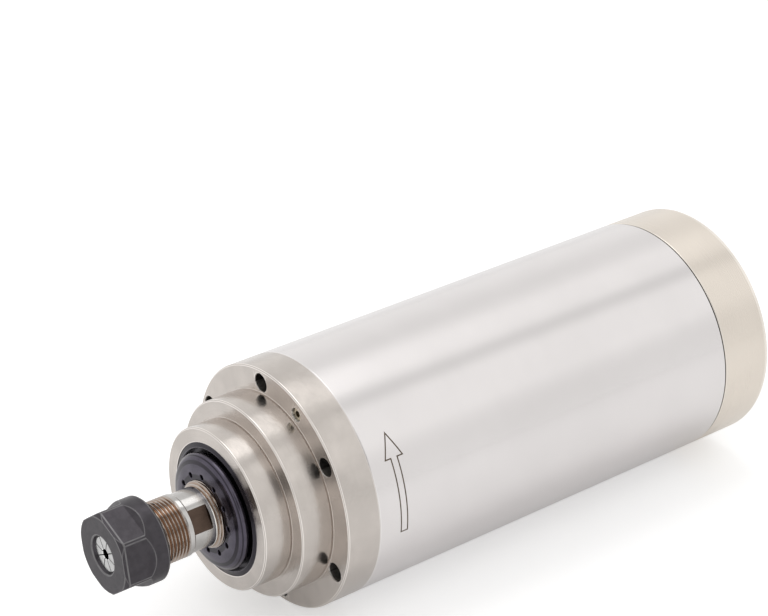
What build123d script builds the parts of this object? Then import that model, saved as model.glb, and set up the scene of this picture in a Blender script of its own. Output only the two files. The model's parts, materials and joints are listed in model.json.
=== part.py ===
"""Water-cooled motor spindle with an ER20 collet nose, as an assembly of separate pieces.

The spindle lies along row Y: the nose points to -Y and the connector end to +Y. The origin is on
the axis, in the front face of the flange. Lengths are in millimetres and angles in degrees.
Angles about the axis are seen from the nose: 0 is row +X and 90 is row +Z, which is up.
"""
import os
from math import cos, radians, sin, tan

from build123d import *

os.makedirs("parts", exist_ok=True)

# ---- fits ----------------------------------------------------------------------------------------
SEAT_GAP = 0.02          # radial play of a piece that is pressed or glued in its seat
SLIDE_GAP = 0.05         # radial play of a spigot in a tube
RUNNING_GAP = 0.03       # radial play of a thread or a ball that turns
LABYRINTH_GAP = 0.4      # radial gap between a turning hub and a fixed ring
SCREW_PLAY = 0.2         # radial play of a screw in its clearance hole
THREAD_PLAY = 0.03       # radial play of a screw in its tapped hole

# ---- body ----------------------------------------------------------------------------------------
BODY_D = 100.0           # flange, sleeve and rear cover
FLANGE_T = 15.0
SLEEVE_L = 180.0
COVER_L = 25.0
SLEEVE_WALL = 2.5
GASKET_T = 0.5
STEP_D = 80.0            # mounting register in front of the flange
STEP_L = 14.0
NOSE_D = 66.0
NOSE_L = 12.0
EDGE = 0.5               # chamfer on turned outer edges
JOINT_EDGE = 0.25        # finer chamfer where two pieces meet flush
UNDERCUT_W = 0.8         # relief cut in a face at the root of a step
UNDERCUT_H = 0.4
COVER_ROUND = 1.6
SPIGOT_L = 9.0           # front housing inside the sleeve
BODY_CLOCK = 37.0        # first flange screw

# ---- front bearings and their seat ---------------------------------------------------------------
FRONT_BORE_D = 30.0
FRONT_OD = 55.0
FRONT_W = 13.0
FRONT_BALL_D = 7.14
FRONT_BALLS = 14
SPACER_L = 8.0
LIP_D = 47.0             # lip in front of the outer race
LIP_L = 4.5
SHOULDER_H = 3.0         # height of the shaft shoulder behind the inner race
RACE_STEP = 3.6          # radial width of the retainer's nose on the outer race
SPACER_W = 3.1           # radial width of both spacers
RACE_LAND = 0.36         # land of a race from the ball circle, in ball diameters
RACE_EDGE = 0.4
CAGE_WALL = 2.2
CAGE_INSET = 1.2         # cage inside the bearing's faces
POCKET_GAP = 0.08

# ---- nose ring and labyrinth nut -----------------------------------------------------------------
RECESS_D = 54.1
RING_PLATE_T = 2.5
RING_FACE = 0.3          # rim of the ring in front of the nose face, and its outer edge behind it
RING_RIM = 0.4
RING_MOUTH_D = 49.4
RING_BOSS_GAP = 0.4      # ring clear of the inner race
DISC_D = 47.2
DISC_PROUD = 5.0         # front of the disc in front of the nose face
DISC_T = 4.0
DISC_FLAT_D = 36.0       # flat part of the disc's face
DISC_DROP = 1.1          # fall of the cone from the flat to the rounded edge
DISC_ROUND = 1.4
HUB_WALL = 3.0           # hub wall over the front bearing seat
HUB_COUNTERBORE = 2.0    # hub over the start of the bearing seat
LOCK_THREAD_D = 27.0
PIN_HOLES = 12
PIN_HOLE_D = 2.2
PIN_HOLE_PCD = 31.4
PIN_HOLE_DEPTH = 2.4
PIN_HOLE_CLOCK = 3.3     # first pin hole from the shaft's flat

# ---- shaft ---------------------------------------------------------------------------------------
SHAFT_CLOCK = 31.3       # angle at which the shaft stands
LOCK_THREAD_TAIL = 1.0   # thread that shows in front of the disc
NECK_D = 24.0
FLATS = 22.0             # across the two wrench flats
FLATS_L = 8.5
COLLAR_L = 1.5
NUT_THREAD_D = 25.0
NUT_THREAD_L = 21.5
NUT_STANDOFF = 11.9      # thread that shows behind the nut
THREAD_EDGE = 0.8
NECK_L = 11.6            # from the lock thread's tail to the collar
ROTOR_SEAT_D = 32.0
BEHIND_ROTOR_D = 27.0
REAR_SHOULDER_D = 26.0
SHOULDER_BEHIND = 2.0    # front shoulder past the retainer
SHAFT_TAIL = 2.0         # shaft past the rear lock nut
SHANK_BORE_D = 12.4      # bore behind the collet for a long tool shank
SHANK_BORE_L = 34.0
DRILL_POINT = 0.6        # depth of a drill point, in hole radii
SOCKET_EXTRA = 2.0       # collet socket past the collet

# ---- collet and nut ------------------------------------------------------------------------------
COLLET_BORE_D = 4.0
COLLET_D = 21.0
COLLET_L = 31.5
COLLET_FACE_D = 13.8
COLLET_EDGE = 0.2
CONE_LAND = 0.2
COLLET_TAPER = 8.0       # half angle of the long cone
CLAMP_CONE = 30.0        # half angle of the front cone
CLAMP_CONE_L = 2.8
GROOVE_D = 15.0
GROOVE_L = 2.2
HEAD_L = 5.7             # from the collet's face to its largest diameter
SLITS = 8                # from each end
SLIT_W = 0.4
SLIT_LAND = 5.0          # uncut length at the far end of a slit
COLLET_SINK = 1.2        # collet face behind the nut's face
COLLET_GAP = 0.04
NUT_D = 34.0
NUT_FLATS = 30.0
NUT_L = 19.5
NUT_FLATS_L = 11.0
NUT_FACE_D = 30.8
NUT_MOUTH_D = 15.8
NUT_CLOCK = 9.6
NUT_BACK_EDGE = 0.9
RING_OFFSET = 0.5        # eccentric ring that pulls the collet out
NUT_CLEAR = 0.8          # nut clear of the shaft's end and of the collet's head

# ---- motor ---------------------------------------------------------------------------------------
JACKET_WALL = 9.5
GROOVES = 12
CHANNEL_W = 10.0
CHANNEL_DEPTH = 4.5
CHANNEL_END = 20.0       # uncut length at each end of the jacket
ORING_SECTION = 1.8
ORING_GROOVE_W = 2.4
ORING_FROM_END = 13.5
STATOR_BORE_D = 48.0
STATOR_L = 90.0
STATOR_START = 62.0
YOKE = 6.5
SLOTS = 24
SLOT_MOUTH = 2.0
SLOT_LIP = 1.4
TOOTH_W = 3.2
WIRE_GAP = 0.2
END_TURN_L = 16.0
END_TURN_GAP = 1.6       # end turns clear of the core
END_TURN_WALL = 10.6
END_TURN_ROUND = 2.5
AIR_GAP = 0.4
CAGE_BARS = 16
BAR_D = 4.0
BAR_DEPTH = 3.0          # rotor bar centre below the rotor surface
END_RING_L = 6.0
END_RING_STEP = 0.4      # end rings below the rotor surface
END_RING_GAP = 1.5       # end rings clear of the shaft
BALANCE_RING_L = 5.0
BALANCE_RING_D = 44.0

# ---- rear bearing, bell and cover ----------------------------------------------------------------
BELL_T = 17.0
BELL_BOSS_L = 9.0
BELL_BOSS_WALL = 3.0
REAR_BORE_D = 20.0
REAR_OD = 42.0
REAR_W = 12.0
REAR_BALL_D = 6.35
REAR_BALLS = 11
BELL_LIP_L = 2.5
BELL_LIP_W = 3.5
SPRING_L = 2.5
SPRING_T = 0.7
LOCK_NUT_L = 6.0
LOCK_NUT_D = 32.0
LOCK_NUT_SLOTS = 4
LOCK_NUT_SLOT = 5.0
LOCK_NUT_SLOT_DEPTH = 2.0
COVER_WALL = 14.0
COVER_END = 8.0

# ---- screws --------------------------------------------------------------------------------------
M4 = 4.0
HEAD_PER_THREAD = 1.5    # head diameter of a socket screw: thread diameters, plus HEAD_EXTRA
HEAD_EXTRA = 1.0
HEAD_EDGE = 0.08         # the same screw's head chamfer, key and key depth, in thread diameters
HEAD_KEY = 0.75
HEAD_KEY_DEPTH = 0.55
EDGE_TO_SCREW = 5.5      # from the body's surface to the centre of a body screw
HEAD_BORE_PLAY = 0.2
FLANGE_HEAD_DEPTH = 10.0
FLANGE_SCREWS = 6
FLANGE_SCREW_L = 24.0
TAPPED_EXTRA = 1.0       # tapped hole past the end of its screw
RETAINER_SCREWS = 6
RETAINER_SCREW_L = 12.0
RETAINER_T = 5.0
RETAINER_D = 72.0
RETAINER_PCD = 63.6
RETAINER_BEHIND = 3.0    # retainer plate behind the rear face of the bearings
BELL_SCREW_L = 22.0
BELL_HEAD_DEPTH = 4.4
SLEEVE_TO_BELL_SCREW = 4.5   # from the sleeve's bore to the centre of a bell screw
COVER_SCREWS = 4
COVER_SCREW_L = 21.0
COVER_HEAD_DEPTH = 14.0
COVER_CLOCK = 52.0
PLUG_D = 5.0
PLUG_L = 6.0
PLUG_SINK = 0.8
PLUG_KEY = 2.5

# ---- connector and water fittings ----------------------------------------------------------------
INLET_CHANNEL = 5        # channel that the inlet feeds; the outlet is the channel before it
PORT_D = 5.0
EDGE_TO_PORT = 7.2       # from the body's surface to the centre of a port
FITTING_THREAD_D = 9.7
FITTING_THREAD_L = 9.0
FITTING_FLATS = 12.0
FITTING_HEX_L = 5.0
FITTING_WASHER_T = 1.0
FITTING_NECK_D = 7.0
FITTING_NECK_L = 1.0     # bare neck between the hexagon and the first barb
BARB_D = 8.6
BARB_L = 4.6
BARBS = 3
CONNECTOR_CLOCK = 277.0
CONNECTOR_R = 23.5       # connector axis from the spindle axis
CONNECTOR_D = 19.0
CONNECTOR_WALL = 1.7
CONNECTOR_OUT = 12.0
CONNECTOR_IN = 14.0
CONNECTOR_FLANGE_D = 24.0
CONNECTOR_FLANGE_T = 2.5
CONNECTOR_NUT_FLATS = 21.0
CONNECTOR_NUT_T = 3.0
PIN_PITCH = 6.4
PIN_D = 2.0
PIN_CUP_D = 2.8
PIN_OUT = 9.0
PIN_IN = 15.0
INSERT_OUT = 3.0
INSERT_IN = 10.0
LEAD_D = 2.0
LEAD_PITCH = 3.2
LEAD_HOLE_D = 8.4
LEAD_HOLE_R = 30.0
LEAD_BEND = 3.0
LEAD_RISE = 1.5          # straight run of a lead outside the bell and at its pin

# ---- places that follow from the sizes -----------------------------------------------------------
body_r = BODY_D / 2
step_r = STEP_D / 2
nose_r = NOSE_D / 2
sleeve_in_r = body_r - SLEEVE_WALL
spigot_r = sleeve_in_r - SLIDE_GAP
screw_r = body_r - EDGE_TO_SCREW
bell_screw_r = sleeve_in_r - SLEEVE_TO_BELL_SCREW

step_y = -STEP_L
nose_y = step_y - NOSE_L
sleeve_y = FLANGE_T
sleeve_end = sleeve_y + SLEEVE_L
cover_y = sleeve_end + GASKET_T
rear_y = sleeve_end + COVER_L
spigot_end = sleeve_y + SPIGOT_L

ring_seat_y = nose_y + LIP_L
front_a_y = ring_seat_y + LIP_L
front_b_y = front_a_y + FRONT_W + SPACER_L
shoulder_y = front_b_y + FRONT_W
retainer_y = shoulder_y + RETAINER_BEHIND

disc_y = nose_y - DISC_PROUD
tail_y = disc_y - LOCK_THREAD_TAIL
collar_y = tail_y - NECK_L
thread_y = collar_y - COLLAR_L
shaft_front = thread_y - NUT_THREAD_L
nut_back = thread_y - NUT_STANDOFF
nut_front = nut_back - NUT_L
collet_y = nut_front + COLLET_SINK

jacket_y = spigot_end
bell_y = sleeve_end - BELL_T
stator_end = STATOR_START + STATOR_L
stator_r = sleeve_in_r - JACKET_WALL
rotor_stop_y = STATOR_START - END_RING_L - BALANCE_RING_L
rotor_stack_end = stator_end + END_RING_L + BALANCE_RING_L
jacket_r = sleeve_in_r - SLIDE_GAP
rotor_r = STATOR_BORE_D / 2 - AIR_GAP
boss_y = bell_y - BELL_BOSS_L
spring_y = boss_y + BELL_LIP_L
rear_bearing_y = spring_y + SPRING_L
lock_nut_y = rear_bearing_y + REAR_W
shaft_end = lock_nut_y + LOCK_NUT_L + SHAFT_TAIL
cover_cavity_r = body_r - COVER_WALL
cover_inside_y = rear_y - COVER_END
cover_screw_in = COVER_SCREW_L - (COVER_L - COVER_HEAD_DEPTH)

screw_hole_r = M4 / 2 + SCREW_PLAY
tapped_r = M4 / 2 + THREAD_PLAY
head_bore_r = (HEAD_PER_THREAD * M4 + HEAD_EXTRA) / 2 + HEAD_BORE_PLAY
plug_angle = BODY_CLOCK + 180 / FLANGE_SCREWS
channel_step = 360 / GROOVES
first_channel = BODY_CLOCK + channel_step / 2
port_r = body_r - EDGE_TO_PORT
port_angles = [first_channel + (INLET_CHANNEL - k) * channel_step for k in range(2)]


# ---- helpers -------------------------------------------------------------------------------------
def seen_from_nose(y):
    """Plane across the axis at y: local x is row X, local y is row Z, and it faces the nose."""
    return Plane(origin=(0, y, 0), x_dir=(1, 0, 0), z_dir=(0, -1, 0))


def seen_from_behind(y):
    """Plane across the axis at y: local x is row -X, local y is row Z, and it faces the rear."""
    return Plane(origin=(0, y, 0), x_dir=(-1, 0, 0), z_dir=(0, 1, 0))


def from_behind(angle):
    """The same angle about the axis, measured in a plane that is seen from behind."""
    return 180 - angle


def through_axis(angle):
    """Plane through the axis at an angle: local x is the radius, local y is row Y."""
    c, s = cos(radians(angle)), sin(radians(angle))
    return Plane(origin=(0, 0, 0), x_dir=(c, 0, s), z_dir=(-s, 0, c))


def facing_rear(radius, angle, y):
    """Plane like seen_from_behind with its origin at a radius and an angle about the axis."""
    x, z = radius * cos(radians(angle)), radius * sin(radians(angle))
    return Plane(origin=(x, y, z), x_dir=(-1, 0, 0), z_dir=(0, 1, 0))


def save(piece, name):
    """Label a finished piece and write it as a STEP file of its own."""
    piece.part.label = name
    export_step(piece.part, f"parts/{name}.step")


def ring(inner_r, outer_r, y_start, y_end):
    """Plain ring about the spindle's axis."""
    with BuildPart() as blank:
        with BuildSketch(seen_from_nose(y_end)):
            Circle(outer_r)
            Circle(inner_r, mode=Mode.SUBTRACT)
        extrude(amount=y_end - y_start)
    return blank


def socket_screw(thread_d, length):
    """Socket head cap screw: its head stands on z = 0 and its plain shank goes down."""
    head_r = (HEAD_PER_THREAD * thread_d + HEAD_EXTRA) / 2
    with BuildPart() as screw:
        with BuildSketch():
            Circle(head_r)
        extrude(amount=thread_d)
        chamfer(screw.edges().sort_by(Axis.Z)[-1], HEAD_EDGE * thread_d)
        with BuildSketch():
            Circle(thread_d / 2)
        extrude(amount=-length)
        with BuildSketch(Plane.XY.offset(thread_d)):
            RegularPolygon(HEAD_KEY * thread_d / 2, 6, major_radius=False)
        extrude(amount=-HEAD_KEY_DEPTH * thread_d, mode=Mode.SUBTRACT)
    return screw.part


def set_screw(thread_d, length, key):
    """Hollow-key set screw with its face on z = 0."""
    with BuildPart() as screw:
        with BuildSketch():
            Circle(thread_d / 2)
        extrude(amount=-length)
        with BuildSketch():
            RegularPolygon(key / 2, 6, major_radius=False)
        extrude(amount=-length / 2, mode=Mode.SUBTRACT)
    return screw.part


def screw_circle(plane, radius, count, first_angle, screw):
    """Copies of one screw on a circle in a plane, each standing out of that plane."""
    with BuildPart(plane) as screws:
        with PolarLocations(radius, count, start_angle=first_angle):
            add(screw)
    return screws


def race(inner_r, outer_r, y_start, width, track_r, ball_d):
    """Bearing race: a ring whose ball track is cut round a circle of radius track_r."""
    with BuildPart() as blank:
        with BuildSketch() as section:
            with Locations(((inner_r + outer_r) / 2, y_start + width / 2)):
                Rectangle(outer_r - inner_r, width)
            chamfer(section.vertices(), RACE_EDGE)
            with Locations((track_r, y_start + width / 2)):
                Circle(ball_d / 2 + RUNNING_GAP, mode=Mode.SUBTRACT)
        revolve(axis=Axis.Y)
    return blank


def ball_cage(pitch_r, y_start, width, ball_d, balls):
    """Cage ring with one round pocket for each ball."""
    half_wall = CAGE_WALL / 2
    with BuildPart() as cage:
        with BuildSketch(seen_from_nose(y_start + width - CAGE_INSET)):
            Circle(pitch_r + half_wall)
            Circle(pitch_r - half_wall, mode=Mode.SUBTRACT)
        extrude(amount=width - 2 * CAGE_INSET)
        for pocket in range(balls):
            angle = radians(360 / balls * pocket)
            outwards = (cos(angle), 0, sin(angle))
            with BuildSketch(Plane(origin=(0, y_start + width / 2, 0), x_dir=(0, 1, 0), z_dir=outwards)):
                Circle(ball_d / 2 + POCKET_GAP)
            extrude(amount=pitch_r + ball_d, mode=Mode.SUBTRACT)
    return cage


def bearing(name, bore_d, outer_d, width, y_start, ball_d, balls):
    """Ball bearing in four nodes: outer race, inner race, balls and cage."""
    pitch_r = (bore_d + outer_d) / 4
    land = RACE_LAND * ball_d
    outer = race(pitch_r + land, outer_d / 2 - SEAT_GAP, y_start, width, pitch_r, ball_d)
    inner = race(bore_d / 2 + SEAT_GAP, pitch_r - land, y_start, width, pitch_r, ball_d)
    with BuildPart(seen_from_nose(y_start + width / 2)) as ball_set:
        with PolarLocations(pitch_r, balls):
            Sphere(ball_d / 2)
    save(outer, f"{name}_outer_race")
    save(inner, f"{name}_inner_race")
    save(ball_set, f"{name}_balls")
    save(ball_cage(pitch_r, y_start, width, ball_d, balls), f"{name}_cage")


def o_ring(centre_r, y):
    """O-ring squeezed to its groove, about the spindle's axis."""
    with BuildPart() as seal:
        with BuildSketch():
            with Locations((centre_r, y)):
                Circle(ORING_SECTION / 2)
        revolve(axis=Axis.Y)
    return seal


# ==== front housing: flange, mounting register and nose ===========================================
lip_r = LIP_D / 2
recess_r = RECESS_D / 2
front_bearing_r = FRONT_OD / 2
front_seat_r = FRONT_BORE_D / 2
retainer_seat_r = RETAINER_D / 2 + SLIDE_GAP
with BuildPart() as front_housing:
    with BuildSketch():
        with BuildLine():
            Polyline(
                (lip_r, ring_seat_y),
                (recess_r, ring_seat_y),
                (recess_r, nose_y),
                (nose_r - EDGE, nose_y),
                (nose_r, nose_y + EDGE),
                (nose_r, step_y + UNDERCUT_H),
                (nose_r + UNDERCUT_W, step_y + UNDERCUT_H),
                (nose_r + UNDERCUT_W, step_y),
                (step_r - EDGE, step_y),
                (step_r, step_y + EDGE),
                (step_r, UNDERCUT_H),
                (step_r + UNDERCUT_W, UNDERCUT_H),
                (step_r + UNDERCUT_W, 0),
                (body_r - EDGE, 0),
                (body_r, EDGE),
                (body_r, sleeve_y - JOINT_EDGE),
                (body_r - JOINT_EDGE, sleeve_y),
                (spigot_r, sleeve_y),
                (spigot_r, spigot_end),
                (retainer_seat_r, spigot_end),
                (retainer_seat_r, retainer_y),
                (front_bearing_r, retainer_y),
                (front_bearing_r, front_a_y),
                (lip_r, front_a_y),
                close=True,
            )
        make_face()
    revolve(axis=Axis.Y)
    with Locations(seen_from_nose(0)):
        with PolarLocations(screw_r, FLANGE_SCREWS, start_angle=BODY_CLOCK):
            CounterBoreHole(screw_hole_r, head_bore_r, FLANGE_HEAD_DEPTH, depth=spigot_end)
        with PolarLocations(screw_r, 1, start_angle=plug_angle):
            Hole(PLUG_D / 2 + THREAD_PLAY, depth=PLUG_SINK + PLUG_L + TAPPED_EXTRA)
    with Locations(seen_from_behind(retainer_y)):
        with PolarLocations(RETAINER_PCD / 2, RETAINER_SCREWS):
            Hole(tapped_r, depth=RETAINER_SCREW_L - RETAINER_T + TAPPED_EXTRA)
save(front_housing, "front_housing")

flange_screw = socket_screw(M4, FLANGE_SCREW_L)
flange_seat = seen_from_nose(FLANGE_HEAD_DEPTH)
flange_screws = screw_circle(flange_seat, screw_r, FLANGE_SCREWS, BODY_CLOCK, flange_screw)
save(flange_screws, "flange_screws")

plug_screw = set_screw(PLUG_D, PLUG_L, PLUG_KEY)
coolant_plug = screw_circle(seen_from_nose(PLUG_SINK), screw_r, 1, plug_angle, plug_screw)
save(coolant_plug, "coolant_plug")

# ==== nose ring: fixed half of the labyrinth ======================================================
ring_r = recess_r - SLIDE_GAP
mouth_r = RING_MOUTH_D / 2
hub_r = front_seat_r + HUB_WALL
with BuildPart() as nose_ring:
    with BuildSketch():
        with BuildLine():
            Polyline(
                (hub_r + LABYRINTH_GAP, ring_seat_y - RING_PLATE_T),
                (mouth_r, ring_seat_y - RING_PLATE_T),
                (mouth_r, nose_y),
                (mouth_r + RING_RIM, nose_y - RING_FACE),
                (ring_r, nose_y + RING_FACE),
                (ring_r, ring_seat_y),
                (lip_r - SLIDE_GAP, ring_seat_y),
                (lip_r - SLIDE_GAP, front_a_y - RING_BOSS_GAP),
                (hub_r + LABYRINTH_GAP, front_a_y - RING_BOSS_GAP),
                close=True,
            )
        make_face()
    revolve(axis=Axis.Y)
save(nose_ring, "nose_ring")

# ==== labyrinth nut: black disc with pin holes, screwed on the shaft ==============================
disc_r = DISC_D / 2
lock_r = LOCK_THREAD_D / 2
round_start = (disc_r - DISC_ROUND, disc_y + DISC_DROP)
round_end = (disc_r, disc_y + DISC_DROP + DISC_ROUND)
with BuildPart() as labyrinth_nut:
    with BuildSketch():
        with BuildLine():
            Polyline(
                (lock_r + SEAT_GAP, disc_y),
                (DISC_FLAT_D / 2, disc_y),
                round_start,
            )
            RadiusArc(round_start, round_end, -DISC_ROUND)
            Polyline(
                round_end,
                (disc_r, disc_y + DISC_T),
                (hub_r, disc_y + DISC_T),
                (hub_r, front_a_y),
                (front_seat_r + SEAT_GAP, front_a_y),
                (front_seat_r + SEAT_GAP, front_a_y - HUB_COUNTERBORE),
                (lock_r + SEAT_GAP, front_a_y - HUB_COUNTERBORE),
                (lock_r + SEAT_GAP, disc_y),
            )
        make_face()
    revolve(axis=Axis.Y)
    with Locations(seen_from_nose(disc_y)):
        with PolarLocations(PIN_HOLE_PCD / 2, PIN_HOLES, start_angle=SHAFT_CLOCK + PIN_HOLE_CLOCK):
            Hole(PIN_HOLE_D / 2, depth=PIN_HOLE_DEPTH)
save(labyrinth_nut, "labyrinth_nut")

# ==== front bearing pair, spacers and retainer ====================================================
for name, y_start in (("front_bearing_a", front_a_y), ("front_bearing_b", front_b_y)):
    bearing(name, FRONT_BORE_D, FRONT_OD, FRONT_W, y_start, FRONT_BALL_D, FRONT_BALLS)
spacer_y = front_a_y + FRONT_W
inner_spacer = ring(front_seat_r + SEAT_GAP, front_seat_r + SPACER_W, spacer_y, front_b_y)
save(inner_spacer, "front_inner_spacer")
outer_spacer = ring(front_bearing_r - SPACER_W, front_bearing_r - SEAT_GAP, spacer_y, front_b_y)
save(outer_spacer, "front_outer_spacer")

shoulder_r = front_seat_r + SHOULDER_H
with BuildPart() as bearing_retainer:
    with BuildSketch():
        with BuildLine():
            Polyline(
                (front_bearing_r - RACE_STEP, shoulder_y),
                (front_bearing_r - SLIDE_GAP, shoulder_y),
                (front_bearing_r - SLIDE_GAP, retainer_y),
                (RETAINER_D / 2, retainer_y),
                (RETAINER_D / 2, retainer_y + RETAINER_T),
                (shoulder_r + LABYRINTH_GAP, retainer_y + RETAINER_T),
                (shoulder_r + LABYRINTH_GAP, retainer_y),
                (front_bearing_r - RACE_STEP, retainer_y),
                close=True,
            )
        make_face()
    revolve(axis=Axis.Y)
    with Locations(seen_from_behind(retainer_y + RETAINER_T)):
        with PolarLocations(RETAINER_PCD / 2, RETAINER_SCREWS):
            Hole(screw_hole_r, depth=RETAINER_T)
save(bearing_retainer, "bearing_retainer")
retainer_screw = socket_screw(M4, RETAINER_SCREW_L)
retainer_face = seen_from_behind(retainer_y + RETAINER_T)
retainer_screws = screw_circle(retainer_face, RETAINER_PCD / 2, RETAINER_SCREWS, 0, retainer_screw)
save(retainer_screws, "retainer_screws")

# ==== shaft with the collet socket ================================================================
taper = tan(radians(COLLET_TAPER))
head_y = collet_y + HEAD_L
collet_end = collet_y + COLLET_L
collet_r = COLLET_D / 2


def collet_radius(y):
    """Radius of the collet's long cone at a place on the axis."""
    return collet_r - (y - head_y) * taper


neck_r = NECK_D / 2
nut_thread_r = NUT_THREAD_D / 2
socket_end = collet_end + SOCKET_EXTRA
shank_r = SHANK_BORE_D / 2
rotor_seat_r = ROTOR_SEAT_D / 2
rear_seat_r = REAR_BORE_D / 2
with BuildPart() as spindle_shaft:
    with BuildSketch():
        with BuildLine():
            Polyline(
                (collet_radius(shaft_front) + COLLET_GAP, shaft_front),
                (nut_thread_r - THREAD_EDGE, shaft_front),
                (nut_thread_r, shaft_front + THREAD_EDGE),
                (nut_thread_r, collar_y),
                (neck_r, collar_y + EDGE),
                (neck_r, tail_y - lock_r + neck_r),
                (lock_r, tail_y),
                (lock_r, front_a_y - HUB_COUNTERBORE),
                (front_seat_r, front_a_y - HUB_COUNTERBORE + front_seat_r - lock_r),
                (front_seat_r, shoulder_y),
                (shoulder_r, shoulder_y),
                (shoulder_r, retainer_y + RETAINER_T + SHOULDER_BEHIND),
                (rotor_seat_r + EDGE, retainer_y + RETAINER_T + SHOULDER_BEHIND),
                (rotor_seat_r + EDGE, rotor_stop_y),
                (rotor_seat_r, rotor_stop_y),
                (rotor_seat_r, rotor_stack_end),
                (BEHIND_ROTOR_D / 2, rotor_stack_end),
                (BEHIND_ROTOR_D / 2, rear_bearing_y - EDGE),
                (REAR_SHOULDER_D / 2, rear_bearing_y),
                (rear_seat_r, rear_bearing_y),
                (rear_seat_r, shaft_end - EDGE),
                (rear_seat_r - EDGE, shaft_end),
                (0, shaft_end),
                (0, socket_end + SHANK_BORE_L + shank_r * DRILL_POINT),
                (shank_r, socket_end + SHANK_BORE_L),
                (shank_r, socket_end),
                (collet_radius(socket_end) + COLLET_GAP, socket_end),
                close=True,
            )
        make_face()
    revolve(axis=Axis.Y)
    with BuildSketch(seen_from_nose(collar_y)):
        Circle(nut_thread_r + EDGE)
        Rectangle(FLATS, 2 * NUT_THREAD_D, rotation=SHAFT_CLOCK, mode=Mode.SUBTRACT)
    extrude(amount=-FLATS_L, mode=Mode.SUBTRACT)
save(spindle_shaft, "spindle_shaft")

# ==== collet and collet nut =======================================================================
face_r = COLLET_FACE_D / 2
cone = tan(radians(CLAMP_CONE))
cone_y = collet_y + COLLET_EDGE
cone_end = cone_y + CLAMP_CONE_L
cone_r = face_r + COLLET_EDGE + CLAMP_CONE_L * cone
groove_y = cone_end + CONE_LAND
with BuildPart() as collet:
    with BuildSketch():
        with BuildLine():
            Polyline(
                (COLLET_BORE_D / 2, collet_y),
                (face_r, collet_y),
                (face_r + COLLET_EDGE, cone_y),
                (cone_r, cone_end),
                (cone_r, groove_y),
                (GROOVE_D / 2, groove_y),
                (GROOVE_D / 2, groove_y + GROOVE_L),
                (collet_r - EDGE, groove_y + GROOVE_L),
                (collet_r, head_y),
                (collet_radius(collet_end), collet_end),
                (COLLET_BORE_D / 2, collet_end),
                close=True,
            )
        make_face()
    revolve(axis=Axis.Y)
    for start, first in ((collet_y, 0), (collet_y + SLIT_LAND, 180 / SLITS)):
        with BuildSketch(seen_from_nose(start)):
            with PolarLocations(0, SLITS // 2, start_angle=SHAFT_CLOCK + first, angular_range=180):
                Rectangle(NUT_D, SLIT_W)
        extrude(amount=-(COLLET_L - SLIT_LAND), mode=Mode.SUBTRACT)
save(collet, "collet")

nut_r = NUT_D / 2
nut_bore_r = nut_thread_r + RUNNING_GAP
cavity_y = shaft_front - NUT_CLEAR
cavity_r = collet_r + NUT_CLEAR / 2
ring_front_y = cone_end + CONE_LAND + COLLET_EDGE
ring_back_y = groove_y + GROOVE_L - COLLET_EDGE
flats_end = nut_front + NUT_FLATS_L
flat_rise = nut_r - NUT_FLATS / 2 + EDGE
with BuildPart() as collet_nut:
    with BuildSketch():
        with BuildLine():
            Polyline(
                (nut_bore_r + EDGE, nut_back),
                (nut_r - NUT_BACK_EDGE, nut_back),
                (nut_r, nut_back - NUT_BACK_EDGE),
                (nut_r, nut_front + nut_r - NUT_FACE_D / 2),
                (NUT_FACE_D / 2, nut_front),
                (NUT_MOUTH_D / 2, nut_front),
                (face_r + COLLET_EDGE + COLLET_GAP, cone_y),
                (cone_r + COLLET_GAP, cone_end),
                (cone_r + COLLET_GAP, ring_front_y),
                (GROOVE_D / 2 - RING_OFFSET, ring_front_y),
                (GROOVE_D / 2 - RING_OFFSET, ring_back_y),
                (cavity_r, ring_back_y),
                (cavity_r, cavity_y),
                (nut_bore_r, cavity_y),
                (nut_bore_r, nut_back - EDGE),
                close=True,
            )
        make_face()
    revolve(axis=Axis.Y)
    with BuildSketch(seen_from_nose(ring_front_y)):
        with PolarLocations(RING_OFFSET, 1, start_angle=NUT_CLOCK):
            Circle(cone_r + COLLET_GAP * 2)
    extrude(amount=ring_front_y - ring_back_y, mode=Mode.SUBTRACT)
    for flat in range(6):
        with BuildSketch(through_axis(NUT_CLOCK + 60 * flat)):
            with BuildLine():
                Polyline(
                    (NUT_FLATS / 2, nut_front - EDGE),
                    (NUT_FLATS / 2 + flat_rise, nut_front - EDGE),
                    (NUT_FLATS / 2 + flat_rise, flats_end + flat_rise),
                    (NUT_FLATS / 2, flats_end),
                    close=True,
                )
            make_face()
        extrude(amount=NUT_FLATS / 2, both=True, mode=Mode.SUBTRACT)
save(collet_nut, "collet_nut")

# ==== rotor =======================================================================================
bar_circle_r = rotor_r - BAR_DEPTH
with BuildPart() as rotor_core:
    with BuildSketch(seen_from_nose(stator_end)):
        Circle(rotor_r)
        Circle(rotor_seat_r + SEAT_GAP, mode=Mode.SUBTRACT)
        with PolarLocations(bar_circle_r, CAGE_BARS):
            Circle(BAR_D / 2 + SEAT_GAP, mode=Mode.SUBTRACT)
    extrude(amount=STATOR_L)
save(rotor_core, "rotor_core")

with BuildPart() as rotor_cage:
    with BuildSketch(seen_from_nose(stator_end + END_RING_L)):
        with PolarLocations(bar_circle_r, CAGE_BARS):
            Circle(BAR_D / 2)
    extrude(amount=STATOR_L + 2 * END_RING_L)
    for end in (STATOR_START, stator_end + END_RING_L):
        with BuildSketch(seen_from_nose(end)):
            Circle(rotor_r - END_RING_STEP)
            Circle(rotor_seat_r + END_RING_GAP, mode=Mode.SUBTRACT)
        extrude(amount=END_RING_L)
save(rotor_cage, "rotor_cage")

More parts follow.
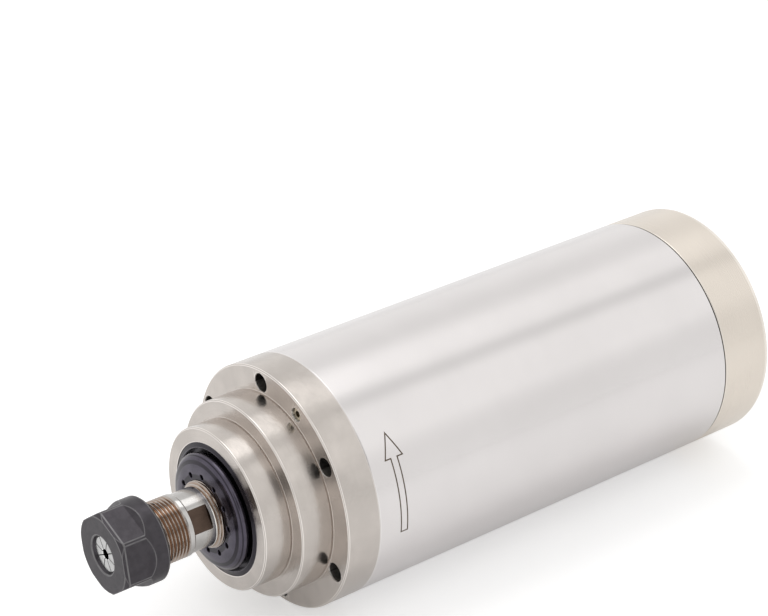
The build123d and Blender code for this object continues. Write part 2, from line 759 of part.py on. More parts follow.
with BuildPart() as balance_rings:
    for end in (rotor_stop_y + BALANCE_RING_L, rotor_stack_end):
        with BuildSketch(seen_from_nose(end)):
            Circle(BALANCE_RING_D / 2)
            Circle(rotor_seat_r + SEAT_GAP, mode=Mode.SUBTRACT)
        extrude(amount=BALANCE_RING_L)
save(balance_rings, "balance_rings")

# ==== stator ======================================================================================
slot_bottom_r = stator_r - YOKE
lip_end_r = STATOR_BORE_D / 2 + SLOT_LIP


def slot_half_width(radius):
    """Half width of a slot between two parallel-sided teeth."""
    return radius * sin(radians(180 / SLOTS)) - TOOTH_W / 2


def slot_outline(inner_r, outer_r, play):
    """Corners of a slot or of the wire in it, about the local x axis."""
    inner_w = slot_half_width(inner_r) - play
    outer_w = slot_half_width(outer_r) - play
    return [(inner_r, -inner_w), (outer_r, -outer_w), (outer_r, outer_w), (inner_r, inner_w)]


with BuildPart() as stator_core:
    with BuildSketch(seen_from_nose(stator_end)):
        Circle(stator_r - SEAT_GAP)
        Circle(STATOR_BORE_D / 2, mode=Mode.SUBTRACT)
        with PolarLocations(0, SLOTS):
            Polygon(*slot_outline(lip_end_r, slot_bottom_r, 0), align=None, mode=Mode.SUBTRACT)
            with Locations((lip_end_r, 0)):
                Rectangle(4 * SLOT_LIP, SLOT_MOUTH, mode=Mode.SUBTRACT)
    extrude(amount=STATOR_L)
save(stator_core, "stator_core")

wire_in_r = lip_end_r + WIRE_GAP
wire_out_r = slot_bottom_r - WIRE_GAP
end_turn_middle = END_TURN_GAP + END_TURN_L / 2
with BuildPart() as stator_windings:
    with BuildSketch(seen_from_nose(stator_end + end_turn_middle)):
        with PolarLocations(0, SLOTS):
            Polygon(*slot_outline(wire_in_r, wire_out_r, WIRE_GAP), align=None)
    extrude(amount=STATOR_L + 2 * end_turn_middle)
    for middle in (STATOR_START - end_turn_middle, stator_end + end_turn_middle):
        with BuildSketch():
            with Locations((wire_in_r + END_TURN_WALL / 2, middle)):
                RectangleRounded(END_TURN_WALL, END_TURN_L, END_TURN_ROUND)
        revolve(axis=Axis.Y)
save(stator_windings, "stator_windings")

# ==== sleeve and cooling jacket ===================================================================
sleeve = ring(sleeve_in_r, body_r, sleeve_y, sleeve_end)
with BuildPart() as body_sleeve:
    add(sleeve.part)
    chamfer(body_sleeve.edges().filter_by(GeomType.CIRCLE).group_by(SortBy.RADIUS)[-1], JOINT_EDGE)
save(body_sleeve, "body_sleeve")

channel_start = jacket_y + CHANNEL_END
channel_end = bell_y - CHANNEL_END
channel_r = jacket_r - CHANNEL_DEPTH
oring_depth = ORING_SECTION + 2 * SEAT_GAP - SLIDE_GAP
seal_ys = (jacket_y + ORING_FROM_END, bell_y - ORING_FROM_END)


def wedge(half_angle):
    """Corners of a wedge about the local x axis, from the spindle's axis out past the body."""
    x, y = BODY_D * cos(radians(half_angle)), BODY_D * sin(radians(half_angle))
    return [(0, 0), (x, -y), (x, y)]


with BuildPart() as cooling_jacket:
    with BuildSketch(seen_from_nose(bell_y)):
        Circle(jacket_r)
        Circle(stator_r, mode=Mode.SUBTRACT)
    extrude(amount=bell_y - jacket_y)
    with BuildSketch(seen_from_nose(channel_start)):
        with PolarLocations(channel_r + CHANNEL_DEPTH, GROOVES, start_angle=first_channel):
            Rectangle(2 * CHANNEL_DEPTH, CHANNEL_W)
    extrude(amount=channel_start - channel_end, mode=Mode.SUBTRACT)
    for link in range(GROOVES - 1):
        start = channel_end - CHANNEL_W if link % 2 else channel_start
        with BuildSketch(seen_from_nose(start)):
            Circle(body_r)
            Circle(channel_r, mode=Mode.SUBTRACT)
            angle = first_channel + (INLET_CHANNEL + link + 0.5) * channel_step
            with PolarLocations(0, 1, start_angle=angle):
                Polygon(*wedge(channel_step / 2), align=None, mode=Mode.INTERSECT)
        extrude(amount=-CHANNEL_W, mode=Mode.SUBTRACT)
    with BuildSketch():
        with Locations(*[(jacket_r, y) for y in seal_ys]):
            Rectangle(2 * oring_depth, ORING_GROOVE_W)
    revolve(axis=Axis.Y, mode=Mode.SUBTRACT)
    with Locations(seen_from_nose(jacket_y)):
        with PolarLocations(screw_r, FLANGE_SCREWS, start_angle=BODY_CLOCK):
            Hole(tapped_r, depth=FLANGE_HEAD_DEPTH + FLANGE_SCREW_L - jacket_y + TAPPED_EXTRA)
    with Locations(seen_from_behind(bell_y)):
        with PolarLocations(bell_screw_r, FLANGE_SCREWS, start_angle=from_behind(BODY_CLOCK)):
            Hole(tapped_r, depth=BELL_SCREW_L - BELL_T + BELL_HEAD_DEPTH + TAPPED_EXTRA)
    for angle in port_angles:
        with Locations(facing_rear(port_r, angle, bell_y)):
            Hole(PORT_D / 2, depth=CHANNEL_END + PORT_D)
save(cooling_jacket, "cooling_jacket")

oring_r = jacket_r - oring_depth + SEAT_GAP + ORING_SECTION / 2
with BuildPart() as jacket_orings:
    for y in seal_ys:
        add(o_ring(oring_r, y).part)
save(jacket_orings, "jacket_orings")

# ==== rear bell, bearing and lock nut =============================================================
rear_bearing_r = REAR_OD / 2
bell_lip_r = rear_bearing_r - BELL_LIP_W
boss_r = rear_bearing_r + BELL_BOSS_WALL
with BuildPart() as rear_bell:
    with BuildSketch():
        with BuildLine():
            Polyline(
                (rear_bearing_r, sleeve_end),
                (spigot_r, sleeve_end),
                (spigot_r, bell_y),
                (boss_r, bell_y),
                (boss_r, boss_y),
                (bell_lip_r, boss_y),
                (bell_lip_r, spring_y),
                (rear_bearing_r, spring_y),
                close=True,
            )
        make_face()
    revolve(axis=Axis.Y)
    with Locations(seen_from_behind(sleeve_end)):
        with PolarLocations(bell_screw_r, FLANGE_SCREWS, start_angle=from_behind(BODY_CLOCK)):
            CounterBoreHole(screw_hole_r, head_bore_r, BELL_HEAD_DEPTH, depth=BELL_T)
        with PolarLocations(screw_r, COVER_SCREWS, start_angle=from_behind(COVER_CLOCK)):
            Hole(tapped_r, depth=cover_screw_in + TAPPED_EXTRA)
    for angle in port_angles:
        with Locations(facing_rear(port_r, angle, sleeve_end)):
            Hole(PORT_D / 2, depth=BELL_T)
    with Locations(facing_rear(LEAD_HOLE_R, CONNECTOR_CLOCK, sleeve_end)):
        Hole(LEAD_HOLE_D / 2, depth=BELL_T)
save(rear_bell, "rear_bell")

bell_screw = socket_screw(M4, BELL_SCREW_L)
bell_seat = seen_from_behind(sleeve_end - BELL_HEAD_DEPTH)
bell_screws = screw_circle(bell_seat, bell_screw_r, FLANGE_SCREWS, from_behind(BODY_CLOCK), bell_screw)
save(bell_screws, "bell_screws")

bearing("rear_bearing", REAR_BORE_D, REAR_OD, REAR_W, rear_bearing_y, REAR_BALL_D, REAR_BALLS)

with BuildPart() as preload_spring:
    with BuildSketch():
        with BuildLine():
            Polyline(
                (bell_lip_r + EDGE, spring_y),
                (rear_bearing_r - EDGE, rear_bearing_y - SPRING_T),
                (rear_bearing_r - EDGE, rear_bearing_y),
                (bell_lip_r + EDGE, spring_y + SPRING_T),
                close=True,
            )
        make_face()
    revolve(axis=Axis.Y)
save(preload_spring, "preload_spring")

with BuildPart() as rear_lock_nut:
    with BuildSketch(seen_from_nose(lock_nut_y + LOCK_NUT_L)):
        Circle(LOCK_NUT_D / 2)
        Circle(rear_seat_r + SEAT_GAP, mode=Mode.SUBTRACT)
        with PolarLocations(LOCK_NUT_D / 2, LOCK_NUT_SLOTS):
            Rectangle(2 * LOCK_NUT_SLOT_DEPTH, LOCK_NUT_SLOT, mode=Mode.SUBTRACT)
    extrude(amount=LOCK_NUT_L)
save(rear_lock_nut, "rear_lock_nut")

# ==== gasket and rear cover =======================================================================
with BuildPart() as cover_gasket:
    with BuildSketch(seen_from_nose(cover_y)):
        Circle(body_r - EDGE)
        Circle(cover_cavity_r, mode=Mode.SUBTRACT)
        with PolarLocations(screw_r, COVER_SCREWS, start_angle=COVER_CLOCK):
            Circle(screw_hole_r, mode=Mode.SUBTRACT)
        for angle in port_angles:
            with PolarLocations(port_r, 1, start_angle=angle):
                Circle(PORT_D / 2, mode=Mode.SUBTRACT)
    extrude(amount=GASKET_T)
save(cover_gasket, "cover_gasket")

fitting_bore_r = FITTING_THREAD_D / 2 + THREAD_PLAY
fitting_bore_l = FITTING_THREAD_L + TAPPED_EXTRA
with BuildPart() as rear_cover:
    with BuildSketch():
        with BuildLine():
            Polyline(
                (cover_cavity_r, cover_y),
                (body_r - JOINT_EDGE, cover_y),
                (body_r, cover_y + JOINT_EDGE),
                (body_r, rear_y),
                (0, rear_y),
                (0, cover_inside_y),
                (cover_cavity_r, cover_inside_y),
                close=True,
            )
        make_face()
    revolve(axis=Axis.Y)
    fillet(rear_cover.edges().filter_by(GeomType.CIRCLE).sort_by(Axis.Y)[-1], COVER_ROUND)
    with Locations(seen_from_behind(rear_y)):
        with PolarLocations(screw_r, COVER_SCREWS, start_angle=from_behind(COVER_CLOCK)):
            CounterBoreHole(screw_hole_r, head_bore_r, COVER_HEAD_DEPTH, depth=COVER_L)
    for angle in port_angles:
        with Locations(facing_rear(port_r, angle, rear_y)):
            CounterBoreHole(PORT_D / 2, fitting_bore_r, fitting_bore_l, depth=COVER_L)
    with Locations(facing_rear(CONNECTOR_R, CONNECTOR_CLOCK, rear_y)):
        Hole(CONNECTOR_D / 2 + SLIDE_GAP, depth=COVER_END)
save(rear_cover, "rear_cover")

cover_screw = socket_screw(M4, COVER_SCREW_L)
cover_seat = seen_from_behind(rear_y - COVER_HEAD_DEPTH)
cover_screws = screw_circle(cover_seat, screw_r, COVER_SCREWS, from_behind(COVER_CLOCK), cover_screw)
save(cover_screws, "cover_screws")

# ==== water fittings ==============================================================================
neck_end = FITTING_WASHER_T + FITTING_HEX_L
barb_start = neck_end + FITTING_NECK_L
barb_r = BARB_D / 2
fitting_neck_r = FITTING_NECK_D / 2
barb_points = [(fitting_neck_r, barb_start)]
for barb in range(BARBS):
    base = barb_start + BARB_L * barb
    barb_points += [(barb_r, base), (fitting_neck_r, base + BARB_L)]
with BuildPart() as fitting:
    with BuildSketch(Plane.XZ):
        with BuildLine():
            Polyline(
                (0, -FITTING_THREAD_L),
                (FITTING_THREAD_D / 2, -FITTING_THREAD_L),
                (FITTING_THREAD_D / 2, neck_end),
                (fitting_neck_r, neck_end),
                *barb_points,
                (0, barb_start + BARB_L * BARBS),
                close=True,
            )
        make_face()
    revolve(axis=Axis.Z)
    with BuildSketch(Plane.XY.offset(FITTING_WASHER_T)):
        RegularPolygon(FITTING_FLATS / 2, 6, major_radius=False)
    extrude(amount=FITTING_HEX_L)
    with Locations((0, 0, barb_start + BARB_L * BARBS)):
        Hole(PORT_D / 2)
with BuildPart() as washer:
    with BuildSketch():
        Circle(FITTING_FLATS / 2)
        Circle(FITTING_THREAD_D / 2 + THREAD_PLAY, mode=Mode.SUBTRACT)
    extrude(amount=FITTING_WASHER_T)

for name, angle in zip(("water_inlet", "water_outlet"), port_angles):
    with BuildPart(facing_rear(port_r, angle, rear_y)) as water_fitting:
        add(fitting.part)
    save(water_fitting, name)
with BuildPart() as fitting_washers:
    for angle in port_angles:
        with Locations(facing_rear(port_r, angle, rear_y)):
            add(washer.part)
save(fitting_washers, "fitting_washers")

# ==== power connector =============================================================================
connector_plane = facing_rear(CONNECTOR_R, CONNECTOR_CLOCK, rear_y)
connector_r = CONNECTOR_D / 2
connector_bore_r = connector_r - CONNECTOR_WALL
with BuildPart(connector_plane) as connector_shell:
    with BuildSketch(connector_plane.offset(-CONNECTOR_IN)):
        Circle(connector_r)
    extrude(amount=CONNECTOR_IN + CONNECTOR_OUT)
    with BuildSketch(connector_plane):
        Circle(CONNECTOR_FLANGE_D / 2)
    extrude(amount=CONNECTOR_FLANGE_T)
    with BuildSketch(connector_plane.offset(-CONNECTOR_IN)):
        Circle(connector_bore_r)
    extrude(amount=CONNECTOR_IN + CONNECTOR_OUT, mode=Mode.SUBTRACT)
save(connector_shell, "connector_shell")

with BuildPart() as connector_insert:
    with BuildSketch(connector_plane.offset(-INSERT_IN)):
        Circle(connector_bore_r - SEAT_GAP)
        with GridLocations(PIN_PITCH, PIN_PITCH, 2, 2):
            Circle(PIN_D / 2 + SEAT_GAP, mode=Mode.SUBTRACT)
    extrude(amount=INSERT_IN + INSERT_OUT)
save(connector_insert, "connector_insert")

with BuildPart() as connector_pins:
    with BuildSketch(connector_plane.offset(-PIN_IN)):
        with GridLocations(PIN_PITCH, PIN_PITCH, 2, 2):
            Circle(PIN_D / 2)
    extrude(amount=PIN_IN + PIN_OUT)
    with BuildSketch(connector_plane.offset(-PIN_IN)):
        with GridLocations(PIN_PITCH, PIN_PITCH, 2, 2):
            Circle(PIN_CUP_D / 2)
    extrude(amount=PIN_IN - INSERT_IN)
save(connector_pins, "connector_pins")

with BuildPart() as connector_nut:
    with BuildSketch(connector_plane.offset(-COVER_END - CONNECTOR_NUT_T)):
        RegularPolygon(CONNECTOR_NUT_FLATS / 2, 6, major_radius=False)
        Circle(connector_r + THREAD_PLAY, mode=Mode.SUBTRACT)
    extrude(amount=CONNECTOR_NUT_T)
save(connector_nut, "connector_nut")

# ==== leads from the end turns to the connector pins ==============================================
lead_start = facing_rear(LEAD_HOLE_R, CONNECTOR_CLOCK, stator_end + END_TURN_GAP + END_TURN_L)
lead_out = facing_rear(LEAD_HOLE_R, CONNECTOR_CLOCK, cover_y + LEAD_RISE)
lead_in = facing_rear(CONNECTOR_R, CONNECTOR_CLOCK, rear_y - PIN_IN - LEAD_RISE)
lead_end = facing_rear(CONNECTOR_R, CONNECTOR_CLOCK, rear_y - PIN_IN)
with BuildPart() as motor_leads:
    for side_x in (-0.5, 0.5):
        for side_z in (-0.5, 0.5):
            in_hole = (side_x * LEAD_PITCH, side_z * LEAD_PITCH)
            at_pin = (side_x * PIN_PITCH, side_z * PIN_PITCH)
            corners = [
                lead_start.from_local_coords((*in_hole, 0)),
                lead_out.from_local_coords((*in_hole, 0)),
                lead_in.from_local_coords((*at_pin, 0)),
                lead_end.from_local_coords((*at_pin, 0)),
            ]
            with BuildLine() as route:
                FilletPolyline(*corners, radius=LEAD_BEND)
            with BuildSketch(Plane(origin=corners[0], x_dir=(1, 0, 0), z_dir=(0, 1, 0))):
                Circle(LEAD_D / 2)
            sweep(path=route.line)
save(motor_leads, "motor_leads")
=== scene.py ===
"""Motor spindle: finishes, threads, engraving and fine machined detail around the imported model.

The spindle lies along Y with its nose to -Y, +Z is up, and the origin is on the axis in the front
face of the flange. Sizes are in millimetres, as on a drawing, and become metres when a mesh is made.
Angles about the axis are in degrees, seen from the nose: 0 is +X and 90 is +Z.
"""

import json
import logging
from collections.abc import Iterator
from contextlib import contextmanager
from dataclasses import dataclass, field
from enum import Enum
from math import cos, pi, radians, sin, tan

import bmesh
import bpy
from mathutils import Matrix, Vector


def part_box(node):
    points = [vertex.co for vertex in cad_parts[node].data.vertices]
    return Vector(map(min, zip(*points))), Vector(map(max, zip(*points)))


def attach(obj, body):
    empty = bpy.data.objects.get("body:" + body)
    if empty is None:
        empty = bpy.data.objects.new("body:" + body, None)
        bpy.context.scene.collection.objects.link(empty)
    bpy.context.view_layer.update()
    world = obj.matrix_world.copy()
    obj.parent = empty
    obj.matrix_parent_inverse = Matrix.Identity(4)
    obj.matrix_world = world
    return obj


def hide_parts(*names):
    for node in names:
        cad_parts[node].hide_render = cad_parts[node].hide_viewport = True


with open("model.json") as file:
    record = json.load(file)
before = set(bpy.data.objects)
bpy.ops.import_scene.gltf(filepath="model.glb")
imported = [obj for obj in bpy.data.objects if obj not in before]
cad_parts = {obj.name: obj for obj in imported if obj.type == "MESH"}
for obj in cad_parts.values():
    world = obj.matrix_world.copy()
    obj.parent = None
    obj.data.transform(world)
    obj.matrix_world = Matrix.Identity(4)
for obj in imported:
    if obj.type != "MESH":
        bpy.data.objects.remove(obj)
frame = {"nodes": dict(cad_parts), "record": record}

LOG = logging.getLogger("spindle")

MM = 0.001                    # metres in a millimetre
TURN = 2 * pi                 # radians in a full turn
WELD = 0.002                  # millimetres between points that count as one
SEAM = 1e-7                   # metres between points that a tree joins
CLEAR = 1.0                   # millimetres that a cutter reaches past what it cuts
SHARP = 35.0                  # degrees between two faces from which their edge is sharp
THREAD_SHARP = 60.0           # the same on a thread, whose flanks are shaded together

Point = tuple[float, float]
Place = tuple[float, float, float]
Color = tuple[float, float, float]
Thing = bpy.types.Object
Socket = bpy.types.NodeSocket
Value = Socket | float


# ---- node trees ----------------------------------------------------------------------------------


class Graph:
    """A node tree that is built by adding nodes and feeding their inputs."""

    def __init__(self, tree: bpy.types.NodeTree) -> None:
        """Starts on an existing tree.

        Args:
            tree: The tree that gets the nodes.
        """
        self.tree = tree

    @classmethod
    def emptied(cls, owner: bpy.types.Material | bpy.types.World) -> "Graph":
        """Empties the node tree of a material or a world and starts on it.

        Args:
            owner: The material or the world.

        Returns:
            The graph.
        """
        owner.use_nodes = True
        owner.node_tree.nodes.clear()
        return cls(owner.node_tree)

    def add(self, kind: str, inputs: dict | None = None, **settings: object) -> bpy.types.Node:
        """Adds a node.

        Args:
            kind: The node's type name.
            inputs: Values or sockets by input name or number.
            **settings: Properties of the node itself.

        Returns:
            The new node.
        """
        node = self.tree.nodes.new(kind)
        for key, value in settings.items():
            setattr(node, key, value)
        for key, value in (inputs or {}).items():
            self.feed(node.inputs[key], value)
        return node

    def feed(self, socket: Socket, value: object) -> None:
        """Links a socket to an input, or sets a plain value on it.

        Args:
            socket: The input to feed.
            value: An output socket, a number, a vector or a data block.
        """
        if isinstance(value, bpy.types.NodeSocket):
            self.tree.links.new(value, socket)
        else:
            socket.default_value = value

    def math(self, operation: str, *values: Value) -> Socket:
        """Adds a Math node and returns its output.

        Args:
            operation: The operation's name.
            *values: Its operands.

        Returns:
            The result's socket.
        """
        node = self.add("ShaderNodeMath", dict(enumerate(values)), operation=operation)
        return node.outputs[0]

    def vector(self, operation: str, *values: Socket | Place) -> Socket:
        """Adds a Vector Math node and returns its vector output.

        Args:
            operation: The operation's name.
            *values: Its operands.

        Returns:
            The result's socket.
        """
        node = self.add("ShaderNodeVectorMath", dict(enumerate(values)), operation=operation)
        return node.outputs[0]

    def combine(self, x: Value, y: Value, z: Value) -> Socket:
        """Makes a vector of three numbers or sockets, and returns its socket."""
        return self.add("ShaderNodeCombineXYZ", {0: x, 1: y, 2: z}).outputs[0]

    def split(self, vector: Socket) -> tuple[Socket, Socket, Socket]:
        """Takes a vector apart and returns its three sockets."""
        node = self.add("ShaderNodeSeparateXYZ", {0: vector})
        return node.outputs[0], node.outputs[1], node.outputs[2]

    def distance(self, x: Value, z: Value) -> Socket:
        """Works out how far from the Y axis a point is, and returns the socket."""
        return self.math("SQRT", self.math("MULTIPLY_ADD", x, x, self.math("MULTIPLY", z, z)))

    def clamp_range(self, value: Value, low: Value, high: Value, to_low: float = 0.0,
                    to_high: float = 1.0, smooth: bool = True) -> Socket:
        """Maps a value from one range to another, held at both ends.

        Args:
            value: The value.
            low: Where the result starts to change.
            high: Where it stops.
            to_low: The result at low.
            to_high: The result at high.
            smooth: Eases the change at both ends.

        Returns:
            The result's socket.
        """
        node = self.add("ShaderNodeMapRange", {0: value, 1: low, 2: high, 3: to_low, 4: to_high})
        node.interpolation_type = "SMOOTHSTEP" if smooth else "LINEAR"
        return node.outputs[0]

    def noise(self, where: Socket, scale: float, detail: float, **inputs: float) -> Socket:
        """Adds a Noise Texture.

        Args:
            where: The coordinates.
            scale: Patches per metre, or per unit of the coordinates.
            detail: How many finer layers it has.
            **inputs: Further inputs by name.

        Returns:
            The noise's socket.
        """
        given = {"Vector": where, "Scale": scale, "Detail": detail, **inputs}
        return self.add("ShaderNodeTexNoise", given).outputs[0]

    def mix(self, share: Value, first: Socket | Color, second: Socket | Color) -> Socket:
        """Mixes two colours.

        Args:
            share: How much of the second colour there is.
            first: The first colour.
            second: The second colour.

        Returns:
            The mixed colour's socket.
        """
        colors = [c if isinstance(c, Socket) else (*c, 1.0) for c in (first, second)]
        inputs = {0: share, 6: colors[0], 7: colors[1]}
        return self.add("ShaderNodeMix", inputs, data_type="RGBA").outputs[2]

    def bump(self, height: Socket, rise: float, strength: float = 1.0,
             normal: Socket | None = None) -> Socket:
        """Tilts the surface's normal as a relief would.

        Args:
            height: The relief.
            rise: Millimetres that the relief rises where its height is 1.
            strength: How much of the relief shows.
            normal: The normal that it starts from, where that isn't the surface's own.

        Returns:
            The normal's socket.
        """
        inputs = {"Height": height, "Strength": strength, "Distance": rise * MM}
        if normal is not None:
            inputs["Normal"] = normal
        return self.add("ShaderNodeBump", inputs).outputs[0]

    def stored(self, name: str) -> Socket:
        """Reads a number that a piece's mesh carries, in a material, and returns its socket."""
        return self.add("ShaderNodeAttribute", attribute_name=name).outputs["Fac"]


class ShapeTree(Graph):
    """A Geometry Nodes tree with named inputs, whose result is kept as a plain mesh."""

    def __init__(self, name: str) -> None:
        """Makes an empty tree with a geometry input and a geometry output.

        Args:
            name: The tree's name.
        """
        super().__init__(bpy.data.node_groups.new(name, "GeometryNodeTree"))
        self.tree.interface.new_socket("Mesh", in_out="OUTPUT", socket_type="NodeSocketGeometry")
        self.tree.interface.new_socket("Mesh", in_out="INPUT", socket_type="NodeSocketGeometry")
        self.start = self.add("NodeGroupInput")
        self.end = self.add("NodeGroupOutput")
        self.identifiers: dict[str, str] = {}

    @property
    def mesh(self) -> Socket:
        """The mesh that comes into the tree."""
        return self.start.outputs["Mesh"]

    def ask(self, name: str, kind: str = "Float") -> Socket:
        """Adds a named input to the tree.

        Args:
            name: The input's name.
            kind: Its socket type, without the words that all of them start with.

        Returns:
            Its socket inside the tree.
        """
        item = self.tree.interface.new_socket(name, in_out="INPUT", socket_type=f"NodeSocket{kind}")
        self.identifiers[name] = item.identifier
        return self.start.outputs[name]

    def move(self, mesh: Socket, position: Socket, chosen: Socket | None = None) -> Socket:
        """Sets the positions of a mesh and returns it.

        Args:
            mesh: The mesh.
            position: The new position of each point.
            chosen: Which points are moved, or all.

        Returns:
            The moved mesh.
        """
        inputs = {"Geometry": mesh, "Position": position}
        if chosen is not None:
            inputs["Selection"] = chosen
        return self.add("GeometryNodeSetPosition", inputs).outputs[0]

    def around_axis(self) -> tuple[Socket, Socket, Socket]:
        """Reads each point's radius, angle and place on the axis, and returns the three sockets."""
        x, y, z = self.split(self.add("GeometryNodeInputPosition").outputs[0])
        return self.distance(x, z), self.math("ARCTAN2", z, x), y

    def at_angle(self, radius: Value, angle: Value, y: Value) -> Socket:
        """Turns a radius, an angle and a place on the axis into a position, and returns it."""
        x = self.math("MULTIPLY", radius, self.math("COSINE", angle))
        z = self.math("MULTIPLY", radius, self.math("SINE", angle))
        return self.combine(x, y, z)

    def named(self, name: str) -> Socket:
        """Reads a number that is stored on the points, and returns its socket."""
        return self.add("GeometryNodeInputNamedAttribute", {"Name": name}, data_type="FLOAT").outputs[0]

    def store(self, mesh: Socket, name: str, value: Socket, chosen: Socket | None = None) -> Socket:
        """Stores a number on the points of a mesh.

        Args:
            mesh: The mesh.
            name: The number's name.
            value: The number.
            chosen: Which points get it, or all.

        Returns:
            The mesh.
        """
        inputs = {"Geometry": mesh, "Name": name, "Value": value}
        if chosen is not None:
            inputs["Selection"] = chosen
        kinds = {"data_type": "FLOAT", "domain": "POINT"}
        return self.add("GeometryNodeStoreNamedAttribute", inputs, **kinds).outputs[0]

    def sample(self, value: Socket, index: Socket, kind: str) -> Socket:
        """Reads a value from one point of the incoming mesh.

        Args:
            value: The value.
            index: The point's number.
            kind: The value's data type.

        Returns:
            The value's socket.
        """
        inputs = {"Geometry": self.mesh, "Value": value, "Index": index}
        return self.add("GeometryNodeSampleIndex", inputs, data_type=kind).outputs[0]

    def compare(self, operation: str, one: Socket, other: Value) -> Socket:
        """Compares two numbers and returns the answer's socket."""
        return self.add("FunctionNodeCompare", {0: one, 1: other}, operation=operation).outputs[0]

    def merge(self, mesh: Socket) -> Socket:
        """Joins points that lie on each other, and returns the mesh."""
        return self.add("GeometryNodeMergeByDistance", {"Geometry": mesh, "Distance": SEAM}).outputs[0]

    def shade(self, mesh: Socket, sharp_from: float) -> Socket:
        """Shades a mesh smooth and keeps its edges sharp from an angle on.

        Args:
            mesh: The mesh.
            sharp_from: The angle in degrees.

        Returns:
            The shaded mesh.
        """
        smooth = self.add("GeometryNodeSetShadeSmooth", {"Geometry": mesh}, domain="FACE")
        angle = self.add("GeometryNodeInputMeshEdgeAngle").outputs[0]
        soft = self.compare("LESS_THAN", angle, radians(sharp_from))
        inputs = {"Geometry": smooth.outputs[0], "Shade Smooth": soft}
        return self.add("GeometryNodeSetShadeSmooth", inputs, domain="EDGE").outputs[0]

    def finish(self, mesh: Socket, material: Socket) -> None:
        """Closes the tree with Realize Instances and Set Material.

        Args:
            mesh: The result.
            material: The material that all of it gets.
        """
        real = self.add("GeometryNodeRealizeInstances", {0: mesh}).outputs[0]
        dressed = self.add("GeometryNodeSetMaterial", {"Geometry": real, "Material": material})
        self.feed(self.end.inputs["Mesh"], dressed.outputs[0])

    def run(self, carrier: Thing, **values: object) -> Thing:
        """Runs the tree on an object and keeps the result as the object's own plain mesh.

        Args:
            carrier: The object whose mesh comes in.
            **values: The tree's inputs, with an underscore for each space in a name.

        Returns:
            The same object.
        """
        modifier = carrier.modifiers.new(self.tree.name, "NODES")
        modifier.node_group = self.tree
        for name, value in values.items():
            modifier[self.identifiers[name.replace("_", " ")]] = value
        return settle(carrier)


def settle(carrier: Thing) -> Thing:
    """Applies an object's modifiers to its mesh and removes them.

    Args:
        carrier: The object.

    Returns:
        The same object.
    """
    graph = bpy.context.evaluated_depsgraph_get()
    made = bpy.data.meshes.new_from_object(carrier.evaluated_get(graph), depsgraph=graph)
    carrier.modifiers.clear()
    carrier.data = made
    made.name = carrier.name
    return carrier


def place(name: str, data: bpy.types.ID) -> Thing:
    """Puts a mesh, a camera or a lamp in the scene as an object at the origin.

    Args:
        name: The object's name.
        data: Its mesh, camera or lamp.

    Returns:
        The object.
    """
    thing = bpy.data.objects.new(name, data)
    bpy.context.scene.collection.objects.link(thing)
    return thing


def drop(*things: Thing) -> None:
    """Deletes helper objects, such as cutters that have done their work."""
    for thing in things:
        bpy.data.objects.remove(thing)


# ---- geometry trees --------------------------------------------------------------------------------


def turning_tree() -> ShapeTree:
    """Builds the tree that turns a closed outline of x = radius, y = place about the Y axis.

    Returns:
        The tree, with the inputs Segments and Finish.
    """
    tree = ShapeTree("turned_piece")
    segments = tree.ask("Segments", "Int")
    material = tree.ask("Finish", "Material")
    rows = tree.add("GeometryNodeAttributeDomainSize", {0: tree.mesh}).outputs["Point Count"]
    per_column = tree.math("ADD", rows, 1)
    counts = {"Vertices X": tree.math("ADD", segments, 1), "Vertices Y": per_column}
    grid = tree.add("GeometryNodeMeshGrid", counts).outputs["Mesh"]
    index = tree.add("GeometryNodeInputIndex").outputs[0]
    column = tree.math("FLOOR", tree.math("DIVIDE", tree.math("ADD", index, 0.5), per_column))
    row = tree.math("SUBTRACT", index, tree.math("MULTIPLY", column, per_column))
    row = tree.math("FLOORED_MODULO", tree.math("ROUND", row), rows)
    here = tree.add("GeometryNodeInputPosition").outputs[0]
    radius, y, _ = tree.split(tree.sample(here, row, "FLOAT_VECTOR"))
    angle = tree.math("MULTIPLY", tree.math("DIVIDE", column, segments), TURN)
    shell = tree.move(grid, tree.at_angle(radius, angle, y))
    stored = tree.store(shell, "edge", tree.sample(tree.named("edge"), row, "FLOAT"))
    tree.finish(tree.shade(tree.merge(stored), SHARP), material)
    return tree


